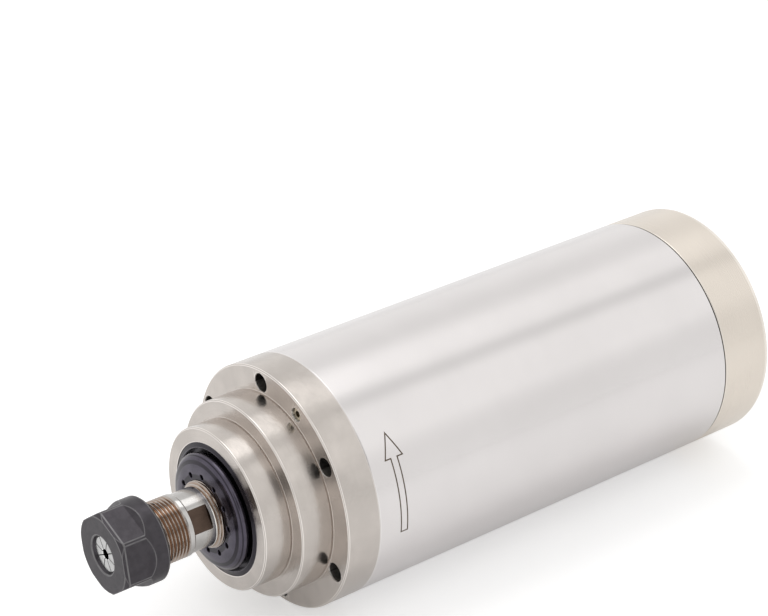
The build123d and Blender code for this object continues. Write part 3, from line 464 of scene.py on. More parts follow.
def thread_tree() -> ShapeTree:
    """Builds the tree that cuts a right-hand thread into the outside of a turned piece.

    Returns:
        The tree, with the inputs Start, End, Pitch, Crest, Depth, Film and Finish.
    """
    tree = ShapeTree("cut_thread")
    start, end, pitch = tree.ask("Start"), tree.ask("End"), tree.ask("Pitch")
    crest, depth, oil_shade_amount = tree.ask("Crest"), tree.ask("Depth"), tree.ask("Film")
    material = tree.ask("Finish", "Material")
    flank = (0.14, 0.9)           # where the flank starts and ends, from the crest (0) to the root (1)
    lead_in, run_out = 0.4, 0.6   # pitches over which the thread deepens and fades
    belt = 2.2                    # depths below the crest that belong to the thread
    crest_to_root_fade, least_on_crests = (0.1, 0.7), 0.35
    radius, angle, y = tree.around_axis()
    turns = tree.math("ADD", tree.math("DIVIDE", y, pitch), tree.math("DIVIDE", angle, TURN))
    ridge = tree.math("ABSOLUTE", tree.math("MULTIPLY_ADD", tree.math("FRACT", turns), 2.0, -1.0))
    fade_in = tree.clamp_range(y, start, tree.math("ADD", start, tree.math("MULTIPLY", pitch, lead_in)))
    last = tree.math("SUBTRACT", end, tree.math("MULTIPLY", pitch, run_out))
    fade = tree.math("MULTIPLY", fade_in, tree.clamp_range(y, last, end, 1.0, 0.0))
    groove = tree.math("MULTIPLY", tree.clamp_range(ridge, *flank, smooth=False), fade)
    threaded = tree.math("MULTIPLY_ADD", groove, tree.math("MULTIPLY", depth, -1.0), radius)
    outside = tree.compare("GREATER_THAN", radius, tree.math("MULTIPLY_ADD", depth, -belt, crest))
    # Painted shade: the film is laid on heavier in the thread's roots than on its crests, so the roots
    # come out darker.
    oil_and_shade_share = tree.math("MULTIPLY", fade, tree.clamp_range(ridge, *crest_to_root_fade, least_on_crests, 1.0))
    film = tree.math("MAXIMUM", tree.named("film"), tree.math("MULTIPLY", oil_shade_amount, oil_and_shade_share))
    stored = tree.store(tree.mesh, "film", film, outside)
    moved = tree.move(stored, tree.at_angle(threaded, angle, y), outside)
    tree.finish(tree.shade(moved, THREAD_SHARP), material)
    return tree


def hexagon_tree() -> ShapeTree:
    """Builds the tree that mills flats round a turned piece, with a 45 degree run-out and soft edges.

    Returns:
        The tree, with the inputs Flats, Half Width, Clock, Flats End, Softness and Finish.
    """
    tree = ShapeTree("milled_flats")
    flats, half, clock = tree.ask("Flats"), tree.ask("Half Width"), tree.ask("Clock")
    end, soft = tree.ask("Flats End"), tree.ask("Softness")
    material = tree.ask("Finish", "Material")
    full_wear, no_wear = 0.1, 0.6  # softnesses between the flat and the old surface
    radius, angle, y = tree.around_axis()
    step = tree.math("DIVIDE", TURN, flats)
    off = tree.math("SUBTRACT", angle, clock)
    nearest = tree.math("MULTIPLY", tree.math("ROUND", tree.math("DIVIDE", off, step)), step)
    rise = tree.math("MAXIMUM", tree.math("SUBTRACT", y, end), 0.0)
    slant = tree.math("COSINE", tree.math("SUBTRACT", off, nearest))
    reach = tree.math("DIVIDE", tree.math("ADD", half, rise), slant)
    milled = tree.math("SMOOTH_MIN", radius, reach, soft)
    gap = tree.math("ABSOLUTE", tree.math("SUBTRACT", radius, reach))
    near, far = (tree.math("MULTIPLY", soft, share) for share in (full_wear, no_wear))
    touched = tree.clamp_range(gap, near, far, 1.0, 0.0)
    stored = tree.store(tree.mesh, "edge", tree.math("MAXIMUM", tree.named("edge"), touched))
    moved = tree.move(stored, tree.at_angle(milled, angle, y))
    tree.finish(tree.shade(moved, SHARP), material)
    return tree


def circle_tree() -> ShapeTree:
    """Builds the tree that sets copies of a piece round the axis.

    Returns:
        The tree, with the inputs Part, Count, Radius, Clock, Place, Spread and Finish.
    """
    tree = ShapeTree("set_round_axis")
    part, count = tree.ask("Part", "Object"), tree.ask("Count", "Int")
    radius, clock = tree.ask("Radius"), tree.ask("Clock")
    where, spread = tree.ask("Place"), tree.ask("Spread")
    material = tree.ask("Finish", "Material")
    points = tree.add("GeometryNodePoints", {"Count": count}).outputs[0]
    index = tree.add("GeometryNodeInputIndex").outputs[0]
    angle = tree.math("MULTIPLY_ADD", tree.math("DIVIDE", index, count), spread, clock)
    placed = tree.move(points, tree.at_angle(radius, angle, where))
    turn = tree.combine(0.0, tree.math("MULTIPLY", angle, -1.0), 0.0)
    info = tree.add("GeometryNodeObjectInfo", {"Object": part})
    inputs = {"Points": placed, "Instance": info.outputs["Geometry"], "Rotation": turn}
    copies = tree.add("GeometryNodeInstanceOnPoints", inputs)
    tree.finish(copies.outputs[0], material)
    return tree


def engraving_tree() -> ShapeTree:
    """Builds the tree that wraps a flat pattern of x = arc length, y = place round the axis as a cutter.

    Returns:
        The tree, with the inputs Radius, Depth and Finish.
    """
    tree = ShapeTree("wrapped_engraving")
    radius, depth = tree.ask("Radius"), tree.ask("Depth")
    material = tree.ask("Finish", "Material")
    fine = tree.add("GeometryNodeSubdivideMesh", {"Mesh": tree.mesh, "Level": 2}).outputs[0]
    upwards = {"Offset": tree.combine(0, 0, 1), "Offset Scale": tree.math("MULTIPLY", depth, 2.0)}
    thick = tree.add("GeometryNodeExtrudeMesh", {"Mesh": fine, **upwards, "Individual": False})
    flipped = tree.add("GeometryNodeFlipFaces", {"Mesh": fine}).outputs[0]
    joined = tree.add("GeometryNodeJoinGeometry")
    tree.feed(joined.inputs[0], thick.outputs["Mesh"])
    tree.feed(joined.inputs[0], flipped)
    arc, y, height = tree.split(tree.add("GeometryNodeInputPosition").outputs[0])
    shell = tree.math("ADD", tree.math("SUBTRACT", radius, depth), height)
    around = tree.at_angle(shell, tree.math("DIVIDE", arc, radius), y)
    tree.finish(tree.move(tree.merge(joined.outputs[0]), around), material)
    return tree


class Trees:
    """The trees that the sub-assemblies share."""

    turning = turning_tree()
    thread = thread_tree()
    hexagon = hexagon_tree()
    circle = circle_tree()
    engraving = engraving_tree()


# ---- meshes ----------------------------------------------------------------------------------------

ROUNDED_SHARE = 0.45          # the most of a run between two corners that one rounding takes
SUPPORT_SHARE = 0.48          # the same for the row that keeps the run beside a rounding flat
SUPPORT = 1.5                 # roundings from the corner to that row
LEAST_SHARE = 1e-3            # share of a run below which a row would double its end


@dataclass
class Outline:
    """A closed outline for turning: corners as radius, place and ease, all in millimetres.

    The corners run so that the material lies on their left. An eased corner is rounded over that
    length on both sides of it.
    """

    corners: list[tuple[float, ...]]
    fine_zones: list[Place] = field(default_factory=list)  # start, end and step of added rows
    fine_above: float = 0.0       # rows are added outside this radius only
    arc_steps: int = 3

    def points(self) -> list[Place]:
        """Works out the outline's points.

        Returns:
            Radius, place and edge weight of each point, in millimetres.
        """
        made: list[Place] = []
        count = len(self.corners)
        for i, corner in enumerate(self.corners):
            here = Vector(corner[:2])
            ease = corner[2] if len(corner) > 2 else 0.0
            if not ease:
                made.append((here.x, here.y, 0.0))
                continue
            before = Vector(self.corners[i - 1][:2]) - here
            after = Vector(self.corners[(i + 1) % count][:2]) - here
            shorter = (before.length, after.length)
            reach = min(ease, *(ROUNDED_SHARE * length for length in shorter))
            support = min(SUPPORT * reach, *(SUPPORT_SHARE * length for length in shorter))
            start, end = here + before.normalized() * reach, here + after.normalized() * reach
            made.append((*(here + before.normalized() * support), 0.0))
            for k in range(self.arc_steps + 1):
                s = k / self.arc_steps
                at = start * (1 - s) ** 2 + here * (2 * s * (1 - s)) + end * s**2
                made.append((at.x, at.y, 1.0))
            made.append((*(here + after.normalized() * support), 0.0))
        return self._refined(made)

    def _refined(self, points: list[Place]) -> list[Place]:
        """Adds rows where a run crosses a zone that gets a thread or flats.

        Args:
            points: The outline's points.

        Returns:
            The points with the added rows.
        """
        fine: list[Place] = []
        for i, (radius, y, weight) in enumerate(points):
            fine.append((radius, y, weight))
            next_radius, next_y, _ = points[(i + 1) % len(points)]
            for start, end, step in self.fine_zones:
                low, high = max(min(y, next_y), start), min(max(y, next_y), end)
                if high - low < step or min(radius, next_radius) < self.fine_above:
                    continue
                rows = round((high - low) / step)
                run = [low + k * (high - low) / rows for k in range(rows + 1)]
                if next_y < y:
                    run.reverse()
                for at in run:
                    s = (at - y) / (next_y - y)
                    if LEAST_SHARE < s < 1 - LEAST_SHARE:
                        fine.append((radius + s * (next_radius - radius), at, 0.0))
        return fine

    def turned(self, name: str, slot: str, segments: int = 256) -> Thing:
        """Turns the outline about the spindle's axis.

        Args:
            name: The object's name.
            slot: Its finish.
            segments: Steps round the axis.

        Returns:
            The turned object.
        """
        points = self.points()
        mesh = bpy.data.meshes.new(name)
        mesh.from_pydata([(r * MM, y * MM, 0.0) for r, y, _ in points], [], [])
        edge = mesh.attributes.new("edge", "FLOAT", "POINT")
        edge.data.foreach_set("value", [weight for *_, weight in points])
        return face_outwards(Trees.turning.run(place(name, mesh), Segments=segments, Finish=SHELF[slot]))


@contextmanager
def reshaped(mesh: bpy.types.Mesh) -> Iterator[bmesh.types.BMesh]:
    """Opens a mesh for editing and writes it back at the end.

    Args:
        mesh: The mesh.

    Yields:
        The editable shell.
    """
    shell = bmesh.new()
    shell.from_mesh(mesh)
    yield shell
    shell.to_mesh(mesh)
    shell.free()


def face_outwards(piece: Thing) -> Thing:
    """Makes the faces of a closed piece point outwards.

    Args:
        piece: The piece.

    Returns:
        The same piece.
    """
    with reshaped(piece.data) as shell:
        if shell.calc_volume(signed=True) < 0:
            bmesh.ops.reverse_faces(shell, faces=shell.faces)
    return piece


def sharpen(piece: Thing) -> Thing:
    """Makes the edges sharp where two faces meet steeply or have different finishes.

    Args:
        piece: The piece.

    Returns:
        The same piece.
    """
    with reshaped(piece.data) as shell:
        for edge in shell.edges:
            if len(edge.link_faces) == 2:
                one, other = edge.link_faces
                steep = edge.calc_face_angle(0.0) > radians(SHARP)
                edge.smooth = not steep and one.material_index == other.material_index
    return piece


def weld(piece: Thing) -> None:
    """Joins points that lie on each other and removes the empty faces between them."""
    with reshaped(piece.data) as shell:
        bmesh.ops.dissolve_degenerate(shell, dist=WELD * MM, edges=shell.edges)


def carve(piece: Thing, *cutters: Thing) -> Thing:
    """Cuts closed cutters out of a piece and deletes them.

    Args:
        piece: The piece that is cut.
        *cutters: The cutters. Their materials stay on the faces that they leave.

    Returns:
        The same piece.
    """
    for cutter in cutters:
        modifier = piece.modifiers.new("cut", "BOOLEAN")
        modifier.operation, modifier.solver, modifier.object = "DIFFERENCE", "EXACT", cutter
        modifier.material_mode = "TRANSFER"
        settle(piece)
    drop(*cutters)
    return sharpen(piece)


def block(name: str, low: Place, high: Place, slot: str) -> Thing:
    """Makes a closed box.

    Args:
        name: The object's name.
        low: Its lowest corner in millimetres.
        high: Its highest corner in millimetres.
        slot: Its finish.

    Returns:
        The box.
    """
    low, high = Vector(low), Vector(high)
    size, middle = (high - low) * MM, (high + low) / 2 * MM
    mesh = bpy.data.meshes.new(name)
    with reshaped(mesh) as shell:
        bmesh.ops.create_cube(shell, size=1.0)
        turn = Matrix.Translation(middle) @ Matrix.Diagonal((*size, 1.0))
        bmesh.ops.transform(shell, matrix=turn, verts=shell.verts)
    mesh.materials.append(SHELF[slot])
    return place(name, mesh)


def prism(name: str, sides: int, half_width: float, span_y: Point, slot: str) -> Thing:
    """Makes a closed prism along Y.

    Args:
        name: The object's name.
        sides: How many sides it has.
        half_width: From the axis to a side, in millimetres.
        span_y: Where it starts and ends on Y, in millimetres.
        slot: Its finish.

    Returns:
        The prism.
    """
    start, end = span_y
    reach = half_width * MM / cos(pi / sides)
    size = {"radius1": reach, "radius2": reach, "depth": (end - start) * MM}
    mesh = bpy.data.meshes.new(name)
    with reshaped(mesh) as shell:
        bmesh.ops.create_cone(shell, cap_ends=True, segments=sides, **size)
        turn = Matrix.Translation((0, (start + end) / 2 * MM, 0)) @ Matrix.Rotation(pi / 2, 4, "X")
        bmesh.ops.transform(shell, matrix=turn, verts=shell.verts)
    mesh.materials.append(SHELF[slot])
    return place(name, mesh)


@dataclass(frozen=True)
class Circle:
    """Places round the axis: how many, on which radius in millimetres, and the first one's angle."""

    count: int
    radius: float
    clock: float
    spread: float = 360.0         # degrees that the places share

    def copies(self, name: str, part: Thing, place_y: float, slot: str) -> Thing:
        """Sets copies of a helper piece round the spindle's axis and deletes the helper.

        Args:
            name: The new object's name.
            part: The helper, modelled at the origin with its own axis along Y.
            place_y: The circle's place on Y in millimetres.
            slot: The finish of the copies.

        Returns:
            The new object.
        """
        made = Trees.circle.run(
            place(name, bpy.data.meshes.new(name)), Part=part, Count=self.count, Radius=self.radius * MM,
            Clock=radians(self.clock), Place=place_y * MM, Spread=radians(self.spread), Finish=SHELF[slot],
        )
        drop(part)
        return made


@dataclass(frozen=True)
class Drill:
    """The shape of a hole along Y, sunk from y = 0, in millimetres."""

    radius: float
    depth: float
    countersink: float = 0.0
    pilot: float = 0.0            # radius of a narrower hole that goes on behind
    pilot_end: float = 0.0
    steps: int = 64               # round its axis

    def cutter(self, name: str, slot: str, from_behind: bool = False) -> Thing:
        """Turns the cutter of the hole.

        Args:
            name: The helper's name.
            slot: The finish that the cutter leaves.
            from_behind: Sinks the hole towards -Y instead of +Y.

        Returns:
            The cutter.
        """
        mouth = self.radius + self.countersink
        corners: list[tuple[float, ...]] = [(0.0, -CLEAR), (mouth, -CLEAR)]
        if self.countersink:
            corners += [(mouth, 0.0), (self.radius, self.countersink)]
        corners.append((self.radius, self.depth))
        if self.pilot:
            corners += [(self.pilot, self.depth), (self.pilot, self.pilot_end)]
        corners.append((0.0, corners[-1][1]))
        if from_behind:
            corners = [(r, -y) for r, y in reversed(corners)]
        return Outline(corners).turned(name, slot, segments=self.steps)


@dataclass(frozen=True)
class Thread:
    """A right-hand outside thread, with sizes in millimetres."""

    crest: float                  # radius
    pitch: float
    depth: float
    film: float = 0.0             # how much oil stands in it, and how much painted shade darkens its roots
    rows: int = 12                # rows of points in a pitch

    def zone(self, start: float, end: float) -> Place:
        """Returns the zone of an outline that gets this thread's rows of points."""
        return start, end, self.pitch / self.rows

    def cut(self, piece: Thing, start: float, end: float, slot: str) -> None:
        """Cuts the thread into a turned piece.

        Args:
            piece: The piece.
            start: Where the thread starts on Y.
            end: Where it has faded out.
            slot: The piece's finish.
        """
        Trees.thread.run(
            piece, Start=start * MM, End=end * MM, Pitch=self.pitch * MM, Crest=self.crest * MM,
            Depth=self.depth * MM, Film=self.film, Finish=SHELF[slot],
        )


@dataclass(frozen=True)
class Hexagon:
    """Six milled flats, with sizes in millimetres."""

    half_width: float
    softness: float
    clock: float                  # angle of the first flat
    sides: float = 6.0

    def mill(self, piece: Thing, end: float, slot: str) -> None:
        """Mills the flats on a turned piece.

        Args:
            piece: The piece.
            end: Where the flats end on Y and the run-out starts.
            slot: The piece's finish.
        """
        Trees.hexagon.run(
            piece, Flats=self.sides, Half_Width=self.half_width * MM, Clock=radians(self.clock),
            Flats_End=end * MM, Softness=self.softness * MM, Finish=SHELF[slot],
        )


def hand_in(piece: Thing, body: str, slot: str, *nodes: str) -> None:
    """Puts a finished piece on its body, in place of the nodes that it stands for.

    Args:
        piece: The piece.
        body: The body that it moves with.
        slot: The record's material slot; not used.
        *nodes: The nodes that it replaces.
    """
    weld(piece)
    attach(piece, body)
    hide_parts(*nodes)
    LOG.info("%s: %d faces on %s", piece.name, len(piece.data.polygons), body)


def span(node: str) -> Point:
    """Reads where a node starts and ends along the axis, in millimetres."""
    low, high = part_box(node)
    return low[1] / MM, high[1] / MM


# ---- finishes --------------------------------------------------------------------------------------

PATCH_FADE = (0.35, 0.65)     # noise values between which a darker patch comes in
STREAK_FADE = (0.3, 0.75)     # the same for the darker streaks of the tool marks
STREAK_SHARE = 0.35           # the most that a streak darkens
WEAR_FADE = (0.25, 0.6)       # noise values between which an edge gets fully worn
LEAST_WEAR = 0.55
OIL_AND_SHADE_SHARE = 0.85             # how much of the metal an oil film covers; in a thread's roots it is also painted shade
MARK_SWAY = 0.8               # marks' widths that a tool mark wanders
MARK_RISE = 0.02              # millimetres that tool marks stand out
LEAST_ROUGHNESS = 0.05


class Lay(Enum):
    """Which way the tool marks of a surface run."""

    ROUND = "round the axis"
    ALONG = "along the axis"
    CAST = "no direction"


@dataclass(frozen=True)
class Finish:
    """What all finishes share: a name, which the material gets, and a colour."""

    name: str
    color: Color

    def material(self) -> bpy.types.Material:
        """Builds the finish on one Principled shader.

        Returns:
            The material.
        """
        material = bpy.data.materials.new(self.name)
        graph = Graph.emptied(material)
        here = graph.add("ShaderNodeTexCoord").outputs["Object"]
        shader = graph.add("ShaderNodeBsdfPrincipled", self.surface(graph, here))
        graph.add("ShaderNodeOutputMaterial", {"Surface": shader.outputs[0]})
        return material

    def surface(self, graph: Graph, here: Socket) -> dict[str, Value]:
        """Works out the shader's inputs, in each kind of finish in its own way.

        Args:
            graph: The material's graph.
            here: The place on the object.

        Returns:
            The shader's inputs by name.
        """
        raise NotImplementedError


@dataclass(frozen=True)
class Metal(Finish):
    """A machined, ground or plated metal with tool marks, mottling and bright worn edges."""

    worn: Color
    roughness: float
    mark_width: float = 0.35      # millimetres between tool marks
    mark_height: float = 0.3      # strength of the marks in the surface's slope
    mark_gloss: float = 0.10      # how much the marks change the roughness
    mottle: float = 0.06          # how much patches change the colour
    mottle_size: float = 14.0     # millimetres
    lay: Lay = Lay.ROUND
    anisotropy: float = 0.0
    metallic: float = 1.0
    film: Color = (0.0, 0.0, 0.0)  # colour of the oil film in a thread, which in the roots is also painted shade
    coat: float = 0.0
    axis_at: Point = (0.0, 0.0)   # x and z of the axis that the piece was turned about
    ripple: float = 0.0           # millimetres that slow waves rise and fall

    def across_the_marks(self, graph: Graph, local: Socket) -> Socket:
        """Finds the direction in the surface that runs across round tool marks.

        Args:
            graph: The material's graph.
            local: The place, measured from the axis.

        Returns:
            The direction's socket, in world space.
        """
        normal = graph.add("ShaderNodeTexCoord").outputs["Normal"]
        along = graph.vector("CROSS_PRODUCT", (0.0, 1.0, 0.0), local)
        across = graph.vector("NORMALIZE", graph.vector("CROSS_PRODUCT", normal, along))
        spaces = {"convert_from": "OBJECT", "convert_to": "WORLD"}
        return graph.add("ShaderNodeVectorTransform", {0: across}, **spaces).outputs[0]

    def marks(self, graph: Graph, local: Socket, patch: Socket) -> Socket:
        """Draws the tool marks as noise that is stretched along them.

        Args:
            graph: The material's graph.
            local: The place, measured from the axis.
            patch: The slow noise that lets the marks wander.

        Returns:
            The marks' socket.
        """
        x, y, z = graph.split(local)
        pitch = self.mark_width * MM
        sway = graph.math("MULTIPLY", patch, MARK_SWAY)
        if self.lay is Lay.ROUND:
            outwards = graph.math("ADD", graph.math("DIVIDE", graph.distance(x, z), pitch), sway)
            lanes = graph.combine(outwards, graph.math("DIVIDE", y, pitch), sway)
        elif self.lay is Lay.ALONG:
            lanes = graph.combine(graph.math("DIVIDE", x, pitch), sway, graph.math("DIVIDE", z, pitch))
        else:
            lanes = graph.vector("SCALE", local)
            graph.feed(lanes.node.inputs["Scale"], 1 / pitch)
        return graph.noise(lanes, 1.0, detail=3.0, Roughness=0.65)

    def tint(self, graph: Graph, patch: Socket, mark: Socket) -> Socket:
        """Mixes the metal, its darker patches and streaks, its oil film and painted root shade, and its
        worn edges.

        Args:
            graph: The material's graph.
            patch: The slow noise.
            mark: The tool marks.

        Returns:
            The colour's socket.
        """
        dark = tuple(c * (1 - self.mottle) for c in self.color)
        shade = graph.mix(graph.clamp_range(patch, *PATCH_FADE), self.color, dark)
        shade = graph.mix(graph.clamp_range(mark, *STREAK_FADE, 0.0, STREAK_SHARE), shade, dark)
        # Oil film on threads, which is also painted shade where it is heaviest, in the roots.
        if any(self.film):
            shade = graph.mix(graph.math("MULTIPLY", graph.stored("film"), OIL_AND_SHADE_SHARE), shade, self.film)
        wear = graph.clamp_range(patch, *WEAR_FADE, LEAST_WEAR, 1.0)
        return graph.mix(graph.math("MULTIPLY", graph.stored("edge"), wear), shade, self.worn)

    def surface(self, graph: Graph, here: Socket) -> dict[str, Value]:
        """Works out the shader's inputs.

        Args:
            graph: The material's graph.
            here: The place on the object.

        Returns:
            The shader's inputs by name.
        """
        local = graph.vector("SUBTRACT", here, (self.axis_at[0] * MM, 0.0, self.axis_at[1] * MM))
        patch = graph.noise(local, 1 / (self.mottle_size * MM), detail=3.0)
        mark = self.marks(graph, local, patch)
        uneven = graph.math("SUBTRACT", mark, 0.5)
        rough = graph.math("MULTIPLY_ADD", uneven, self.mark_gloss * 2, self.roughness)
        rough = graph.math("MULTIPLY_ADD", graph.math("SUBTRACT", patch, 0.5), self.mark_gloss, rough)
        waves = graph.bump(patch, self.ripple) if self.ripple else None
        inputs = {
            "Base Color": self.tint(graph, patch, mark),
            "Roughness": graph.math("MAXIMUM", rough, LEAST_ROUGHNESS),
            "Metallic": self.metallic,
            "Anisotropic": self.anisotropy,
            "Coat Weight": self.coat,
            "Normal": graph.bump(mark, MARK_RISE, self.mark_height, waves),
        }
        if self.anisotropy:
            inputs["Tangent"] = self.across_the_marks(graph, local)
        return inputs


@dataclass(frozen=True)
class Moulded(Finish):
    """A moulded or cast non-metal, such as resin, rubber or insulation, with a fine skin."""

    roughness: float
    grain: float = 0.5            # millimetres
    grain_height: float = 0.35
    grain_rise: float = 0.05      # millimetres
    cloud: float = 12.0           # millimetres across the duller and glossier patches
    gloss_change: float = 0.2
    grain_fade: Point = (0.35, 0.7)  # noise values between which the grain's colour comes in
    fleck: Color | None = None    # the grain's colour, or a lighter shade of the piece's own
    lighter: Point = (1.35, 0.004)  # factor and offset that make that shade
    coat: float = 0.0

    def surface(self, graph: Graph, here: Socket) -> dict[str, Value]:
        """Works out the shader's inputs.

        Args:
            graph: The material's graph.
            here: The place on the object.

        Returns:
            The shader's inputs by name.
        """
        fine = graph.noise(here, 1 / (self.grain * MM), detail=4.0)
        broad = graph.noise(here, 1 / (self.cloud * MM), detail=2.0)
        factor, offset = self.lighter
        fleck = self.fleck or tuple(min(1.0, c * factor + offset) for c in self.color)
        uneven = graph.math("SUBTRACT", broad, 0.5)
        return {
            "Base Color": graph.mix(graph.clamp_range(fine, *self.grain_fade), self.color, fleck),
            "Roughness": graph.math("MULTIPLY_ADD", uneven, self.gloss_change, self.roughness),
            "Coat Weight": self.coat,
            "Normal": graph.bump(fine, self.grain_rise, self.grain_height),
        }


@dataclass(frozen=True)
class SheetStack(Finish):
    """A stack of varnished electrical sheet: thin bright lines with dark varnish between them."""

    varnish: Color
    sheet: float = 0.5            # millimetres
    seam_fade: Point = (0.02, 0.14)  # sheets from a seam between which the varnish thins out
    seam_rise: float = 0.05       # millimetres that a sheet stands out over its seam
    stains: float = 180.0         # patches in a metre
    stain_fade: Point = (0.3, 0.7)
    least_bright: float = 0.5     # brightness of a sheet where it is stained
    gloss_fade: Point = (0.2, 0.8)
    roughness: Point = (0.35, 0.55)
    metallic: float = 0.8

    def surface(self, graph: Graph, here: Socket) -> dict[str, Value]:
        """Works out the shader's inputs.

        Args:
            graph: The material's graph.
            here: The place on the object.

        Returns:
            The shader's inputs by name.
        """
        _, y, _ = graph.split(here)
        line = graph.math("PINGPONG", graph.math("DIVIDE", y, self.sheet * MM), 0.5)
        seam = graph.clamp_range(line, *self.seam_fade)
        stain = graph.noise(here, self.stains, detail=4.0)
        clean = graph.clamp_range(stain, *self.stain_fade, self.least_bright, 1.0)
        bright = graph.math("MULTIPLY", seam, clean)
        return {
            "Base Color": graph.mix(bright, self.varnish, self.color),
            "Roughness": graph.clamp_range(stain, *self.gloss_fade, *self.roughness),
            "Metallic": self.metallic,
            "Normal": graph.bump(seam, self.seam_rise, strength=0.5),
        }


@dataclass(frozen=True)
class Winding(Finish):
    """Enamelled wire laid side by side under varnish."""

    gap: Color
    wire: float = 0.9             # millimetres
    wander: float = 5.0           # wires that a strand strays from its lane
    bends: float = 90.0           # bends in a metre
    strand_fade: Point = (0.03, 0.3)  # wires from a gap between which a strand gets its full colour
    strand_rise: float = 0.2      # millimetres
    gloss_fade: Point = (0.3, 0.7)
    roughness: Point = (0.25, 0.45)
    metallic: float = 0.7
    coat: float = 0.4

    def surface(self, graph: Graph, here: Socket) -> dict[str, Value]:
        """Works out the shader's inputs.

        Args:
            graph: The material's graph.
            here: The place on the object.

        Returns:
            The shader's inputs by name.
        """
        x, y, z = graph.split(here)
        slow = graph.noise(here, self.bends, detail=2.0)
        lane = graph.math("DIVIDE", graph.math("ADD", graph.distance(x, z), y), self.wire * MM)
        lane = graph.math("ADD", lane, graph.math("MULTIPLY", slow, self.wander))
        strand = graph.clamp_range(graph.math("PINGPONG", lane, 0.5), *self.strand_fade)
        return {
            "Base Color": graph.mix(strand, self.gap, self.color),
            "Roughness": graph.clamp_range(slow, *self.gloss_fade, *self.roughness),
            "Metallic": self.metallic,
            "Coat Weight": self.coat,
            "Normal": graph.bump(strand, self.strand_rise, strength=0.8),
        }


CONNECTOR_AXIS = (2.86, -23.32)   # x and z of the connector's axis
PORT_RADIUS = 42.8                # circle of the two water ports
PORT_ANGLES = (202.0, 172.0)      # inlet and outlet
